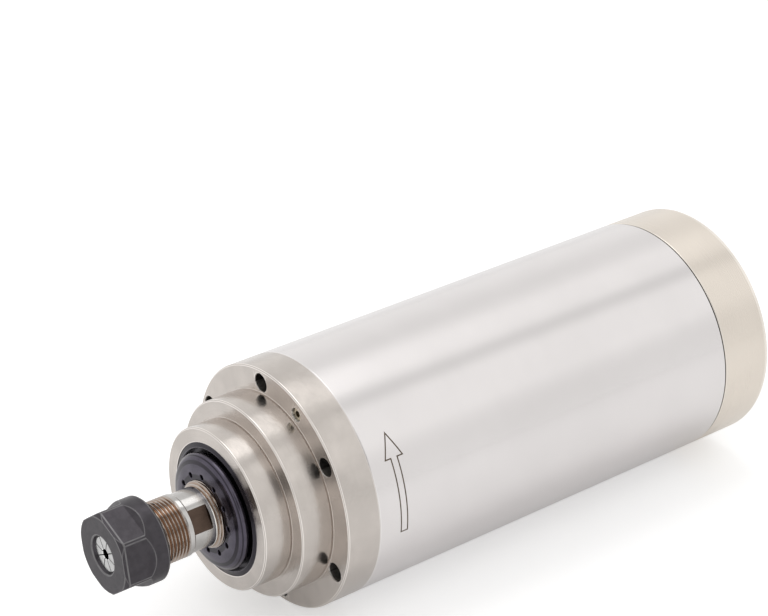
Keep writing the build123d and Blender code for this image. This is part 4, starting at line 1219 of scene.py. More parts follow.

# By material slot, or by the piece or cut surface that has a finish of its own; the walls of holes and
# slits get painted shade.
# The name and the colours come first: the own colour and, for a metal, that of its worn edges.
FINISHES: dict[str, Finish] = {
    "sleeve_steel": Metal(
        "satin_stainless", (0.82, 0.79, 0.785), (0.90, 0.88, 0.87), roughness=0.20, mark_width=0.30,
        mark_height=0.25, mark_gloss=0.04, mottle=0.03, mottle_size=30.0, anisotropy=0.6, ripple=0.1,
    ),
    "nickel_steel": Metal(
        "turned_nickel", (0.67, 0.62, 0.58), (0.95, 0.90, 0.86), roughness=0.21, mark_width=0.30,
        mark_height=0.3, mark_gloss=0.06, mottle=0.12, mottle_size=14.0, anisotropy=0.5, ripple=0.25,
    ),
    "cover_alloy": Metal(
        "satin_cover", (0.83, 0.76, 0.68), (0.92, 0.87, 0.80), roughness=0.26, mark_width=0.25,
        mark_height=0.25, mark_gloss=0.05, mottle=0.04, mottle_size=25.0, anisotropy=0.5, ripple=0.15,
    ),
    "black_oxide": Metal(
        "black_oxide", (0.073, 0.067, 0.075), (0.20, 0.195, 0.20), roughness=0.36, mark_width=0.22,
        mark_height=0.5, mark_gloss=0.08, mottle=0.18, mottle_size=3.0, metallic=0.85,
    ),
    "black_anodised": Metal(
        "black_anodised", (0.030, 0.026, 0.036), (0.10, 0.09, 0.12), roughness=0.22, mark_width=0.20,
        mark_height=0.25, mark_gloss=0.05, mottle=0.15, mottle_size=8.0, metallic=0.9, coat=0.15,
    ),
    "ring_anodised": Metal(
        "black_ring", (0.045, 0.041, 0.050), (0.15, 0.14, 0.16), roughness=0.26, mark_width=0.20,
        mark_height=0.25, mark_gloss=0.05, mottle=0.15, mottle_size=8.0, metallic=0.9,
    ),
    # The ground shaft's brown thread film is oil, and painted shade in the thread's roots.
    "shaft_steel": Metal(
        "ground_steel", (0.60, 0.585, 0.57), (0.90, 0.88, 0.84), roughness=0.14, mark_width=0.15,
        mark_height=0.3, mark_gloss=0.06, mottle=0.10, mottle_size=6.0, anisotropy=0.3,
        film=(0.30, 0.172, 0.092),
    ),
    "tempered": Metal(
        "oiled_flats", (0.115, 0.080, 0.062), (0.5, 0.45, 0.4), roughness=0.22, mark_width=0.25,
        mark_height=0.4, mark_gloss=0.08, mottle=0.2, mottle_size=4.0, lay=Lay.ALONG,
    ),
    "collet_steel": Metal(
        "spring_steel_ground", (0.62, 0.62, 0.62), (0.90, 0.90, 0.90), roughness=0.16, mark_width=0.12,
        mark_height=0.3, mark_gloss=0.08, mottle=0.10, mottle_size=4.0,
    ),
    "bearing_steel": Metal(
        "bearing_steel", (0.70, 0.70, 0.71), (0.85, 0.85, 0.86), roughness=0.10, mark_width=0.10,
        mark_height=0.15, mark_gloss=0.04, mottle=0.04, mottle_size=8.0,
    ),
    "cage_resin": Moulded(
        "phenolic_cage", (0.42, 0.24, 0.11), roughness=0.55, grain=0.6, grain_height=0.4,
        fleck=(0.30, 0.16, 0.07),
    ),
    "spring_steel": Metal(
        "blued_spring", (0.22, 0.23, 0.30), (0.50, 0.50, 0.55), roughness=0.30, mark_width=0.2,
        mark_height=0.2,
    ),
    "screw_steel": Metal(
        "black_screws", (0.05, 0.05, 0.052), (0.25, 0.25, 0.25), roughness=0.42, mark_width=0.2,
        mark_height=0.4, mark_gloss=0.10, mottle=0.2, mottle_size=2.0, metallic=0.7,
    ),
    "plug_brass": Metal(
        "bright_plug", (0.66, 0.60, 0.48), (0.9, 0.85, 0.72), roughness=0.20, mark_width=0.15,
        mark_height=0.3,
    ),
    "jacket_alloy": Metal(
        "machined_alloy", (0.76, 0.77, 0.78), (0.88, 0.88, 0.89), roughness=0.28, mark_width=0.3,
        mark_height=0.35, mark_gloss=0.08, mottle=0.05,
    ),
    "core_steel": SheetStack("core_sheets", (0.42, 0.42, 0.43), (0.09, 0.07, 0.05)),
    "copper": Winding("copper_windings", (0.72, 0.33, 0.16), (0.20, 0.08, 0.04)),
    "cage_alloy": Metal(
        "cast_cage", (0.72, 0.72, 0.73), (0.85, 0.85, 0.85), roughness=0.38, mark_width=0.8,
        mark_height=0.4, mark_gloss=0.12, mottle=0.08, mottle_size=6.0, lay=Lay.CAST,
    ),
    "balance_brass": Metal(
        "turned_brass", (0.76, 0.60, 0.30), (0.88, 0.75, 0.45), roughness=0.22, mark_width=0.3,
        mark_height=0.3,
    ),
    "seal_rubber": Moulded("seal_rubber", (0.025, 0.025, 0.026), roughness=0.6, grain=0.4),
    "fitting_nickel": Metal(
        "plated_fitting", (0.74, 0.71, 0.66), (0.9, 0.88, 0.83), roughness=0.20, mark_width=0.25,
        mark_height=0.3, mark_gloss=0.06, mottle=0.06, mottle_size=5.0,
    ),
    "connector_nickel": Metal(
        "plated_connector", (0.70, 0.69, 0.67), (0.9, 0.9, 0.88), roughness=0.18, mark_width=0.2,
        mark_height=0.3, mark_gloss=0.06, mottle=0.05, mottle_size=6.0, axis_at=CONNECTOR_AXIS,
    ),
    "insert_resin": Moulded("black_insert", (0.03, 0.03, 0.032), roughness=0.5, grain=0.3),
    "pin_gold": Metal(
        "gold_pins", (0.86, 0.66, 0.32), (0.95, 0.8, 0.5), roughness=0.18, mark_width=0.15,
        mark_height=0.2,
    ),
    "lead_insulation": Moulded(
        "silicone_leads", (0.52, 0.05, 0.035), roughness=0.45, grain=0.3, grain_height=0.2, coat=0.15,
    ),
    "engraving": Metal(
        "etched_lines", (0.15, 0.115, 0.085), (0.20, 0.16, 0.12), roughness=0.55, mark_width=0.2,
        mark_height=0.3, mark_gloss=0.05, mottle=0.3, mottle_size=2.0, lay=Lay.CAST, metallic=0.5,
    ),
    # Hole and slit walls: the near-black colour is painted shade in the recesses; the tool marks, mottling
    # and worn rims are the metal's own.
    "painted_recess_shade": Metal(
        "drilled_holes", (0.16, 0.15, 0.14), (0.5, 0.48, 0.45), roughness=0.40, mark_width=0.3,
        mark_height=0.4, mark_gloss=0.08, mottle=0.2, mottle_size=2.0,
    ),
}


class FinishShelf:
    """Hands out each finish as one material, built when it is first asked for."""

    def __init__(self) -> None:
        """Starts empty."""
        self.made: dict[str, bpy.types.Material] = {}

    def __getitem__(self, slot: str) -> bpy.types.Material:
        """Returns the material of a slot, and builds it the first time."""
        if slot not in self.made:
            self.made[slot] = FINISHES[slot].material()
        return self.made[slot]


SHELF = FinishShelf()


# ---- sub-assemblies --------------------------------------------------------------------------------


@dataclass
class ScrewHead:
    """Socket head cap screw, modelled with its head towards -Y and its seat on y = 0."""

    thread: float = 4.0
    head_radius: float = 3.5
    key: float = 3.0
    key_depth: float = 2.2
    point: float = 0.4            # chamfer at the tip

    def screw(self, name: str, length: float) -> Thing:
        """Turns one screw and cuts its socket.

        Args:
            name: The helper's name.
            length: The shank's length.

        Returns:
            The screw.
        """
        shank, top = self.thread / 2, -self.thread
        blank = Outline([
            (0.0, top),
            (self.head_radius, top, 0.3),
            (self.head_radius, 0.0, 0.1),
            (shank, 0.0),
            (shank, length - self.point),
            (shank - self.point, length),
            (0.0, length),
        ]).turned(name, "screw_steel", segments=48)
        socket = prism("socket", 6, self.key / 2, (top - CLEAR, self.key_depth + top), "screw_steel")
        return carve(blank, socket)


@dataclass
class FrontHousing:
    """Flange, mounting register and nose in one turned piece, with its ring and screws."""

    body_radius: float = 50.0
    step_radius: float = 40.0
    nose_radius: float = 33.0
    flange: float = 15.0          # thickness
    step: float = -14.0           # front of the register
    spigot_radius: float = 47.45
    ring_seat: float = 4.5        # ring's seat behind the nose face
    recess_radius: float = 27.05
    lip_radius: float = 23.5
    bearing_radius: float = 27.5
    bearing_start: float = -17.0
    retainer_radius: float = 36.05
    retainer_start: float = 20.0
    edge: float = 0.5             # chamfer
    ease: float = 0.12            # rounding of a chamfer's two edges
    crisp: float = 0.1            # rounding of any other edge
    undercut: Point = (0.8, 0.4)  # width and depth of the relief at the root of a step
    screws: Circle = Circle(6, 44.5, 37.0)
    screw_hole: Drill = Drill(3.7, 10.0, countersink=0.25, pilot=2.2, pilot_end=30.0)
    screw_length: float = 24.0
    plug: Circle = Circle(1, 44.5, 67.0)
    plug_hole: Drill = Drill(2.53, 7.8, countersink=0.3, steps=48)

    def outline(self) -> Outline:
        """Draws the housing's outline.

        Returns:
            The outline, from the bearing seat forwards, out over the nose and back to the spigot.
        """
        nose, back = span("front_housing")
        wide, deep = self.undercut
        edge, ease, crisp = self.edge, self.ease, self.crisp
        return Outline([
            (self.lip_radius, nose + self.ring_seat),
            (self.recess_radius, nose + self.ring_seat, crisp),
            (self.recess_radius, nose, 0.25),
            (self.nose_radius - edge, nose, ease),
            (self.nose_radius, nose + edge, ease),
            (self.nose_radius, self.step + deep, crisp),
            (self.nose_radius + wide, self.step + deep, crisp),
            (self.nose_radius + wide, self.step, crisp),
            (self.step_radius - edge, self.step, ease),
            (self.step_radius, self.step + edge, ease),
            (self.step_radius, deep, crisp),
            (self.step_radius + wide, deep, crisp),
            (self.step_radius + wide, 0.0, crisp),
            (self.body_radius - edge, 0.0, ease),
            (self.body_radius, edge, ease),
            (self.body_radius, self.flange - edge / 2, crisp),
            (self.body_radius - edge / 2, self.flange),
            (self.spigot_radius, self.flange),
            (self.spigot_radius, back),
            (self.retainer_radius, back),
            (self.retainer_radius, self.retainer_start),
            (self.bearing_radius, self.retainer_start),
            (self.bearing_radius, self.bearing_start),
            (self.lip_radius, self.bearing_start),
        ])

    def build(self) -> None:
        """Turns and drills the housing, and sets its screws."""
        housing = self.outline().turned("housing_front", "nickel_steel", segments=320)
        # The cutters leave painted shade on the hole walls.
        hole = self.screw_hole.cutter("flange_hole", "painted_recess_shade")
        holes = self.screws.copies("flange_holes", hole, 0.0, "painted_recess_shade")
        plug = self.plug_hole.cutter("plug_cutter", "painted_recess_shade")
        carve(housing, holes, self.plug.copies("plug_hole", plug, 0.0, "painted_recess_shade"))
        hand_in(housing, "housing", "nickel_steel", "front_housing")
        blank = ScrewHead().screw("flange_screw_blank", self.screw_length)
        screws = self.screws.copies("screws_flange", blank, self.screw_hole.depth, "screw_steel")
        hand_in(screws, "housing", "screw_steel", "flange_screws")


@dataclass
class NoseSeal:
    """The black ring in the nose and the black nut that turns inside it."""

    ring_radius: float = 27.0
    mouth_radius: float = 24.7
    lip_radius: float = 23.45
    bore_radius: float = 18.4
    ring_seat: float = 4.5        # from the ring's face to its seat
    plate: float = 2.5
    rim: float = 0.4
    face: float = 0.3
    disc_radius: float = 23.6
    disc_flat: float = 18.0
    disc_drop: float = 1.1
    disc_round: float = 1.4
    disc_thickness: float = 4.0
    hub_radius: float = 18.0
    seat_radius: float = 15.02
    thread_radius: float = 13.52
    counterbore: float = 2.0
    pins: Circle = Circle(12, 15.7, 34.6)
    pin_hole: Drill = Drill(1.1, 2.4, countersink=0.2, steps=32)

    def build_ring(self) -> None:
        """Turns the ring."""
        front, back = span("nose_ring")
        seat = front + self.face + self.ring_seat
        ring = Outline([
            (self.bore_radius, seat - self.plate, 0.2),
            (self.mouth_radius, seat - self.plate),
            (self.mouth_radius, front + self.face, 0.2),
            (self.mouth_radius + self.rim, front, 0.15),
            (self.ring_radius, front + 2 * self.face, 0.1),
            (self.ring_radius, seat),
            (self.lip_radius, seat),
            (self.lip_radius, back),
            (self.bore_radius, back),
        ]).turned("ring_nose", "ring_anodised")
        hand_in(ring, "housing", "black_anodised", "nose_ring")

    def build_nut(self) -> None:
        """Turns the nut and drills its pin holes."""
        face, end = span("labyrinth_nut")
        shoulder = self.disc_radius - self.disc_round
        nut = Outline([
            (self.thread_radius, face, 0.3),
            (self.disc_flat, face, 3.0),
            (shoulder, face + self.disc_drop, 0.6),
            (self.disc_radius, face + self.disc_drop + self.disc_round, 1.0),
            (self.disc_radius, face + self.disc_thickness, 0.2),
            (self.hub_radius, face + self.disc_thickness),
            (self.hub_radius, end),
            (self.seat_radius, end),
            (self.seat_radius, end - self.counterbore),
            (self.thread_radius, end - self.counterbore),
        ], arc_steps=4).turned("nut_labyrinth", "black_anodised")
        cutter = self.pin_hole.cutter("pin_cutter", "black_anodised")
        carve(nut, self.pins.copies("pin_holes", cutter, face, "black_anodised"))
        hand_in(nut, "rotor", "black_anodised", "labyrinth_nut")

    def build(self) -> None:
        """Builds both pieces."""
        self.build_ring()
        self.build_nut()


@dataclass
class ShaftNose:
    """The shaft with its two threads, wrench flats and collet socket."""

    thread: Thread = Thread(12.5, 1.5, 0.92, film=1.0, rows=14)
    chamfer: float = 0.8          # at the shaft's front end
    lock: Thread = Thread(13.5, 1.0, 0.7, film=0.8)
    lock_reach: float = 1.6       # how far the lock thread runs behind its first full turn
    neck_radius: float = 12.0
    flats: Circle = Circle(2, 0.0, 31.3)
    half_flats: float = 11.0
    flats_length: float = 8.5
    mill_reach: float = 5.0
    collar: float = -43.6
    collar_length: float = 1.5
    tail: float = -32.0
    seat_radius: float = 15.0
    seat_start: float = -19.0
    shoulder: float = 17.0
    shoulder_radius: float = 18.0
    shoulder_end: float = 27.0
    rotor_radius: float = 16.0
    rotor_start: float = 51.0
    rotor_end: float = 163.0
    behind_radius: float = 13.5
    rear_start: float = 174.0
    rear_shoulder: float = 13.0
    rear_radius: float = 10.0
    socket_mouth: float = 10.01
    socket_end: float = -41.8
    socket_radius: float = 6.44
    shank_radius: float = 6.2
    shank_end: float = -7.8
    drill_point: float = 0.6      # height of the bore's end over its radius
    step: float = 0.5             # height and length of the small steps
    margin: float = 0.1           # by which cuts and added rows reach past the thread's own zone

    @property
    def drop(self) -> float:
        """How much the neck lies below the lock thread's crests."""
        return self.lock.crest - self.neck_radius

    def outline(self) -> Outline:
        """Draws the shaft's outline.

        Returns:
            The outline, with fine rows where the threads are cut.
        """
        front, end = span("spindle_shaft")
        crest, lock, drop, step = self.thread.crest, self.lock.crest, self.drop, self.step
        return Outline([
            (self.socket_mouth, front, 0.2),
            (crest - self.chamfer, front, 0.1),
            (crest, front + self.chamfer, 0.1),
            (crest, self.collar, 0.1),
            (self.neck_radius, self.collar + step, 0.1),
            (self.neck_radius, self.tail - drop, 0.3),
            (lock, self.tail),
            (lock, self.seat_start),
            (self.seat_radius, self.seat_start + self.seat_radius - lock),
            (self.seat_radius, self.shoulder),
            (self.shoulder_radius, self.shoulder, 0.2),
            (self.shoulder_radius, self.shoulder_end, 0.2),
            (self.rotor_radius + step, self.shoulder_end),
            (self.rotor_radius + step, self.rotor_start, 0.2),
            (self.rotor_radius, self.rotor_start),
            (self.rotor_radius, self.rotor_end, 0.2),
            (self.behind_radius, self.rotor_end),
            (self.behind_radius, self.rear_start - step),
            (self.rear_shoulder, self.rear_start),
            (self.rear_radius, self.rear_start),
            (self.rear_radius, end - step, 0.1),
            (self.rear_radius - step, end, 0.1),
            (0.0, end),
            (0.0, self.shank_end + self.shank_radius * self.drill_point),
            (self.shank_radius, self.shank_end),
            (self.shank_radius, self.socket_end),
            (self.socket_radius, self.socket_end),
        ], fine_zones=[
            self.thread.zone(front + self.chamfer, self.collar - self.collar_length),
            self.lock.zone(self.tail - drop, self.tail + self.lock_reach),
        ], fine_above=self.neck_radius - self.margin)

    def build(self) -> None:
        """Turns the shaft, cuts its threads and mills its flats."""
        shaft = self.outline().turned("shaft", "shaft_steel")
        front, _ = span("spindle_shaft")
        radius = self.thread.crest
        self.thread.cut(shaft, front + self.chamfer, self.collar - self.collar_length, "shaft_steel")
        lock_start = self.tail - self.drop - self.margin
        self.lock.cut(shaft, lock_start, self.tail + self.lock_reach, "shaft_steel")
        high = (radius + self.mill_reach, self.collar + self.flats_length, radius)
        mill = block("mill", (self.half_flats, self.collar, -radius), high, "tempered")
        carve(shaft, self.flats.copies("flat_cutters", mill, 0.0, "tempered"))
        hand_in(shaft, "rotor", "shaft_steel", "spindle_shaft")


@dataclass
class ColletAndNut:
    """The slit collet and the hexagon nut that holds it."""

    bore_radius: float = 2.0
    face_radius: float = 6.9
    head_radius: float = 10.5
    head: float = 5.7             # from the face to the largest diameter
    taper: float = 8.0            # degrees
    edge: float = 0.2
    cone_length: float = 2.8
    cone_angle: float = 30.0
    groove_radius: float = 7.5
    groove: float = 2.2
    shoulder: float = 0.5         # slope between the groove and the long taper
    ring_depth: float = 0.5       # how far the nut's ring reaches into the groove
    slits: int = 8
    slit: float = 0.4
    slit_land: float = 5.0        # what a slit leaves standing at the far end
    clock: float = 31.3
    nut_radius: float = 17.0
    flats: Hexagon = Hexagon(15.0, 0.35, 9.6)
    flats_length: float = 11.0
    run_out: float = 2.5          # length behind the flats that their run-out may take
    nut_face: float = 15.4
    face_land: float = 0.4
    mouth: float = 7.9
    back_edge: float = 0.9
    thread_radius: float = 12.53
    thread_end: float = -67.4
    thread_chamfer: float = 0.5
    cavity_radius: float = 10.9
    gap: float = 0.04

    def cone(self) -> tuple[float, float, float]:
        """Works out the collet's front cone.

        Returns:
            Where it starts and ends on Y, and its larger radius.
        """
        start = span("collet")[0] + self.edge
        large = self.face_radius + self.edge + self.cone_length * tan(radians(self.cone_angle))
        return start, start + self.cone_length, large

    def collet_outline(self) -> Outline:
        """Draws the collet's outline.

        Returns:
            The outline, from the bore over the front cone and the groove to the long taper.
        """
        face, end = span("collet")
        cone_start, cone_end, cone = self.cone()
        groove = cone_end + self.edge
        tail = self.head_radius - (end - face - self.head) * tan(radians(self.taper))
        return Outline([
            (self.bore_radius, face, 0.35),
            (self.face_radius, face, 0.15),
            (self.face_radius + self.edge, cone_start),
            (cone, cone_end),
            (cone, groove),
            (self.groove_radius, groove),
            (self.groove_radius, groove + self.groove),
            (self.head_radius - self.shoulder, groove + self.groove),
            (self.head_radius, face + self.head, 0.2),
            (tail, end, 0.2),
            (self.bore_radius, end, 0.2),
        ])

    def slit_cutters(self, start: float, end: float, clock: float) -> Thing:
        """Makes the blades of one set of slits, each crossing the whole collet.

        Args:
            start: Where the slits start on Y.
            end: Where they end.
            clock: The first blade's angle.

        Returns:
            The cutter.
        """
        reach, half = self.head_radius + 2 * CLEAR, self.slit / 2
        # The blades leave painted shade on the slit walls.
        blade = block("blade", (-reach, start, -half), (reach, end, half), "painted_recess_shade")
        return Circle(self.slits // 2, 0.0, clock, 180.0).copies("blades", blade, 0.0, "painted_recess_shade")

    def build_collet(self) -> None:
        """Turns the collet and slits it from both ends."""
        face, end = span("collet")
        collet = self.collet_outline().turned("collet_slit", "collet_steel", segments=192)
        front = self.slit_cutters(face - CLEAR, end - self.slit_land, self.clock)
        back = self.slit_cutters(face + self.slit_land, end + CLEAR, self.clock + 180 / self.slits)
        carve(collet, front, back)
        hand_in(collet, "collet", "collet_steel", "collet")

    def build_nut(self) -> None:
        """Turns the nut and mills its hexagon."""
        front, back = span("collet_nut")
        cone_start, cone_end, cone = self.cone()
        ring_front = cone_end + 2 * self.edge
        ring_back = cone_end + self.groove
        ring_radius = self.groove_radius - self.ring_depth
        half_flats = self.flats.half_width
        nut = Outline([
            (self.thread_radius, self.thread_end),
            (self.cavity_radius, self.thread_end),
            (self.cavity_radius, ring_back),
            (ring_radius, ring_back),
            (ring_radius, ring_front),
            (cone + self.gap, ring_front),
            (cone + self.gap, cone_end),
            (self.face_radius + self.edge + self.gap, cone_start),
            (self.mouth, front, 0.35),
            (half_flats - self.face_land, front),
            (self.nut_face, front, 0.2),
            (self.nut_radius, front + self.nut_radius - self.nut_face, 0.3),
            (self.nut_radius, back - self.back_edge, 0.3),
            (self.nut_radius - self.back_edge, back, 0.25),
            (self.thread_radius + self.thread_chamfer, back, 0.15),
            (self.thread_radius, back - self.thread_chamfer),
        ], fine_zones=[(front, front + self.flats_length + self.run_out, 0.2)], fine_above=half_flats)
        nut = nut.turned("nut_collet", "black_oxide", segments=480)
        self.flats.mill(nut, front + self.flats_length, "black_oxide")
        hand_in(nut, "nut", "black_oxide", "collet_nut")

    def build(self) -> None:
        """Builds both pieces."""
        self.build_collet()
        self.build_nut()


@dataclass
class Sleeve:
    """The bright tube with the engraved arrow of rotation."""

    radius: float = 50.0
    inner_radius: float = 47.5
    edge: float = 0.25
    arrow_y: float = 26.3
    arrow_start: float = -5.0     # angle of the arrow's tail
    arrow_end: float = 41.3       # angle of its tip
    head_angle: float = 11.2
    head_width: float = 8.1
    shaft_width: float = 3.0
    line: float = 0.55
    depth: float = 0.12
    dash: float = 2.0             # longest piece of an engraved line
    least_miter: float = 0.35     # keeps the line from running far out at a sharp corner

    def arrow(self) -> list[Point]:
        """Draws the arrow's outline.

        Returns:
            Its corners as arc length and place on Y, in millimetres.
        """
        tail, tip = radians(self.arrow_start) * self.radius, radians(self.arrow_end) * self.radius
        neck = tip - radians(self.head_angle) * self.radius
        wide, thin = self.head_width / 2, self.shaft_width / 2
        half = [(tail, thin), (neck, thin), (neck, wide), (tip, 0.0)]
        back = [(s, -w) for s, w in reversed(half[:-1])]
        return [(s, self.arrow_y + w) for s, w in half + back]

    def line_sides(self, corners: list[Point]) -> tuple[list[Vector], list[Vector]]:
        """Works out the corners of both sides of an engraved line.

        Args:
            corners: The corners of the closed line's middle, in millimetres.

        Returns:
            The corners of its two sides.
        """
        sides: tuple[list[Vector], list[Vector]] = ([], [])
        for i, corner in enumerate(corners):
            here = Vector(corner)
            into = (here - Vector(corners[i - 1])).normalized()
            out = (Vector(corners[(i + 1) % len(corners)]) - here).normalized()
            across = Vector((-into.y - out.y, into.x + out.x)).normalized()
            reach = self.line / 2 / max(self.least_miter, across.dot(Vector((-out.y, out.x))))
            for side, sign in zip(sides, (1, -1)):
                side.append(here + across * reach * sign)
        return sides

    def line_mesh(self, corners: list[Point]) -> bpy.types.Mesh:
        """Lays a band of one line's width along a closed outline.

        Args:
            corners: The outline's corners in millimetres.

        Returns:
            The flat band, split into short pieces.
        """
        sides = self.line_sides(corners)
        vertices = []
        for i in range(len(corners)):
            j = (i + 1) % len(corners)
            steps = max(1, int((sides[0][j] - sides[0][i]).length / self.dash))
            for k in range(steps):
                vertices += [side[i].lerp(side[j], k / steps) for side in sides]
        rungs = range(0, len(vertices), 2)
        faces = [(a, a + 1, (a + 3) % len(vertices), (a + 2) % len(vertices)) for a in rungs]
        mesh = bpy.data.meshes.new("arrow")
        mesh.from_pydata([(v.x * MM, v.y * MM, 0.0) for v in vertices], [], faces)
        return mesh

    def build(self) -> None:
        """Turns the tube and engraves the arrow."""
        front, back = span("body_sleeve")
        inner, rim, outer = self.inner_radius, self.radius - self.edge, self.radius
        tube = Outline([
            (inner, front),
            (rim, front),
            (outer, front + self.edge, 0.1),
            (outer, back - self.edge, 0.1),
            (rim, back),
            (inner, back),
        ]).turned("sleeve", "sleeve_steel", segments=360)
        arrow = Trees.engraving.run(
            place("arrow", self.line_mesh(self.arrow())), Radius=self.radius * MM, Depth=self.depth * MM,
            Finish=SHELF["engraving"],
        )
        carve(tube, face_outwards(arrow))
        hand_in(tube, "housing", "sleeve_steel", "body_sleeve")


@dataclass
class RearCover:
    """The rear cover with its screws and ports."""

    radius: float = 50.0
    cavity_radius: float = 36.0
    end_wall: float = 8.0
    rounding: float = 1.6
    edge: float = 0.25
    screws: Circle = Circle(4, 44.5, 52.0)
    head_hole: Point = (3.7, 14.0)  # radius and depth
    countersink: float = 0.3
    shank_hole: float = 2.2
    screw_length: float = 21.0
    port_hole: Point = (4.88, 10.0)
    port_bore: float = 2.5
    connector_hole: float = 9.55

    def blank(self) -> Thing:
        """Turns the cover without its holes.

        Returns:
            The cover.
        """
        front, back = span("rear_cover")
        return Outline([
            (self.cavity_radius, front),
            (self.radius - self.edge, front),
            (self.radius, front + self.edge, 0.1),
            (self.radius, back, self.rounding),
            (0.0, back),
            (0.0, back - self.end_wall),
            (self.cavity_radius, back - self.end_wall),
        ], arc_steps=6).turned("cover_rear", "cover_alloy", segments=320)

    def holes(self) -> list[Thing]:
        """Makes the cutters of the screw holes, the two ports and the connector's hole.

        Returns:
            The cutters.
        """
        front, back = span("rear_cover")
        through = back - front + CLEAR
        # The cutters leave painted shade on the walls of these holes.
        screw_hole = Drill(*self.head_hole, self.countersink, self.shank_hole, through)
        cutter = screw_hole.cutter("cover_hole", "painted_recess_shade", from_behind=True)
        cutters = [self.screws.copies("cover_holes", cutter, back, "painted_recess_shade")]
        port_hole = Drill(*self.port_hole, pilot=self.port_bore, pilot_end=through, steps=48)
        for angle in PORT_ANGLES:
            cutter = port_hole.cutter("port_hole", "painted_recess_shade", from_behind=True)
            cutters.append(Circle(1, PORT_RADIUS, angle).copies("port_holes", cutter, back, "painted_recess_shade"))
        socket_hole = Drill(self.connector_hole, self.end_wall + CLEAR)
        socket = socket_hole.cutter("socket_hole", "painted_recess_shade", from_behind=True)
        x, z = CONNECTOR_AXIS
        socket.data.transform(Matrix.Translation((x * MM, back * MM, z * MM)))
        return [*cutters, socket]

    def build(self) -> None:
        """Turns and drills the cover, and sets its screws."""
        cover = carve(self.blank(), *self.holes())
        hand_in(cover, "housing", "cover_alloy", "rear_cover")
        blank = ScrewHead().screw("cover_screw_blank", self.screw_length)
        blank.data.transform(Matrix.Rotation(pi, 4, "X"))
        seat = span("rear_cover")[1] - self.head_hole[1]
        screws = self.screws.copies("screws_cover", blank, seat, "screw_steel")
        hand_in(screws, "housing", "screw_steel", "cover_screws")


@dataclass
class RearFittings:
    """The threaded connector shell and the two barbed water fittings."""

    shell: Thread = Thread(9.5, 1.0, 0.5)
    bore_radius: float = 7.8
    flange_radius: float = 12.0
    flange: float = 2.5
    thread_start: float = 0.5     # behind the flange
    fitting_thread: float = 4.85
    fitting_bore: float = 2.5
    hexagon: Hexagon = Hexagon(6.0, 0.15, 30.0)
    hexagon_length: float = 5.0
    washer: float = 1.0
    neck_radius: float = 3.5
    neck: float = 1.0
    barb_radius: float = 4.3
    barb: float = 4.6
    barbs: int = 3

    def build_connector(self) -> None:
        """Turns the connector's shell, with the thread for a coupling ring."""
        front, back = span("connector_shell")
        face = span("rear_cover")[1]
        flange_end = face + self.flange
        start = flange_end + self.thread_start
        crest = self.shell.crest
        shell = Outline([
            (self.bore_radius, front),
            (crest, front, 0.2),
            (crest, face),
            (self.flange_radius, face, 0.15),
            (self.flange_radius, flange_end, 0.4),
            (crest, flange_end, 0.1),
            (crest, back, 0.4),
            (self.bore_radius, back, 0.3),
        ], fine_zones=[self.shell.zone(start, back)], fine_above=self.bore_radius + CLEAR)
        shell = shell.turned("shell_connector", "connector_nickel", segments=128)
        self.shell.cut(shell, start, back + self.shell.pitch, "connector_nickel")
        x, z = CONNECTOR_AXIS
        shell.data.transform(Matrix.Translation((x * MM, 0.0, z * MM)))
        hand_in(shell, "housing", "connector_nickel", "connector_shell")

    def build_fitting(self, name: str, node: str, angle: float) -> None:
        """Turns one water fitting with its hexagon and barbs.

        Args:
            name: The piece's name.
            node: The node that it replaces.
            angle: Where it stands round the axis.
        """
        front, back = span(node)
        start = span("rear_cover")[1] + self.washer
        end = start + self.hexagon_length
        corner = self.hexagon.half_width / cos(pi / 6)
        corners: list[tuple[float, ...]] = [
            (self.fitting_bore, front),
            (self.fitting_thread, front, 0.3),
            (self.fitting_thread, start),
            (corner, start, 0.3),
            (corner, end, 0.5),
            (self.neck_radius, end, 0.2),
        ]
        for k in range(self.barbs):
            foot = end + self.neck + k * self.barb
            corners += [(self.neck_radius, foot), (self.barb_radius, foot, 0.12)]
        corners += [(self.neck_radius, back, 0.1), (self.fitting_bore, back, 0.2)]
        fitting = Outline(corners, fine_zones=[(start, end, 0.25)])
        fitting = fitting.turned(name, "fitting_nickel", segments=192)
        self.hexagon.mill(fitting, back + CLEAR, "fitting_nickel")
        x, z = PORT_RADIUS * cos(radians(angle)), PORT_RADIUS * sin(radians(angle))
        fitting.data.transform(Matrix.Translation((x * MM, 0.0, z * MM)))
        hand_in(fitting, "housing", "fitting_nickel", node)

    def build(self) -> None:
        """Builds the connector and both fittings."""
        self.build_connector()
        for way, angle in zip(("inlet", "outlet"), PORT_ANGLES):
            self.build_fitting(f"fitting_{way}", f"water_{way}", angle)


@dataclass
class CarriedOver:
    """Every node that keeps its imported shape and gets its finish."""

    def build(self) -> None:
        """Puts each shown node's finish on it."""
        for row in frame["record"]["subparts"]:
            thing = frame["nodes"][row["node"]]
            if thing.hide_render:
                continue
            thing.data.materials.clear()
            thing.data.materials.append(SHELF[row["material_slot"]])
            LOG.info("%s keeps its shape", row["node"])


# ---- studio ----------------------------------------------------------------------------------------


SKY_BANDS = (                 # share of a turn about the spindle, and brightness there
    (0.0, 0.90), (0.06, 0.84), (0.10, 0.96), (0.16, 1.16), (0.20, 1.02), (0.228, 0.66), (0.255, 1.04),
    (0.30, 1.10), (0.34, 0.88), (0.39, 0.84), (0.455, 1.02), (0.60, 0.86), (0.85, 0.62), (0.93, 0.80),
    (1.0, 0.90),
)


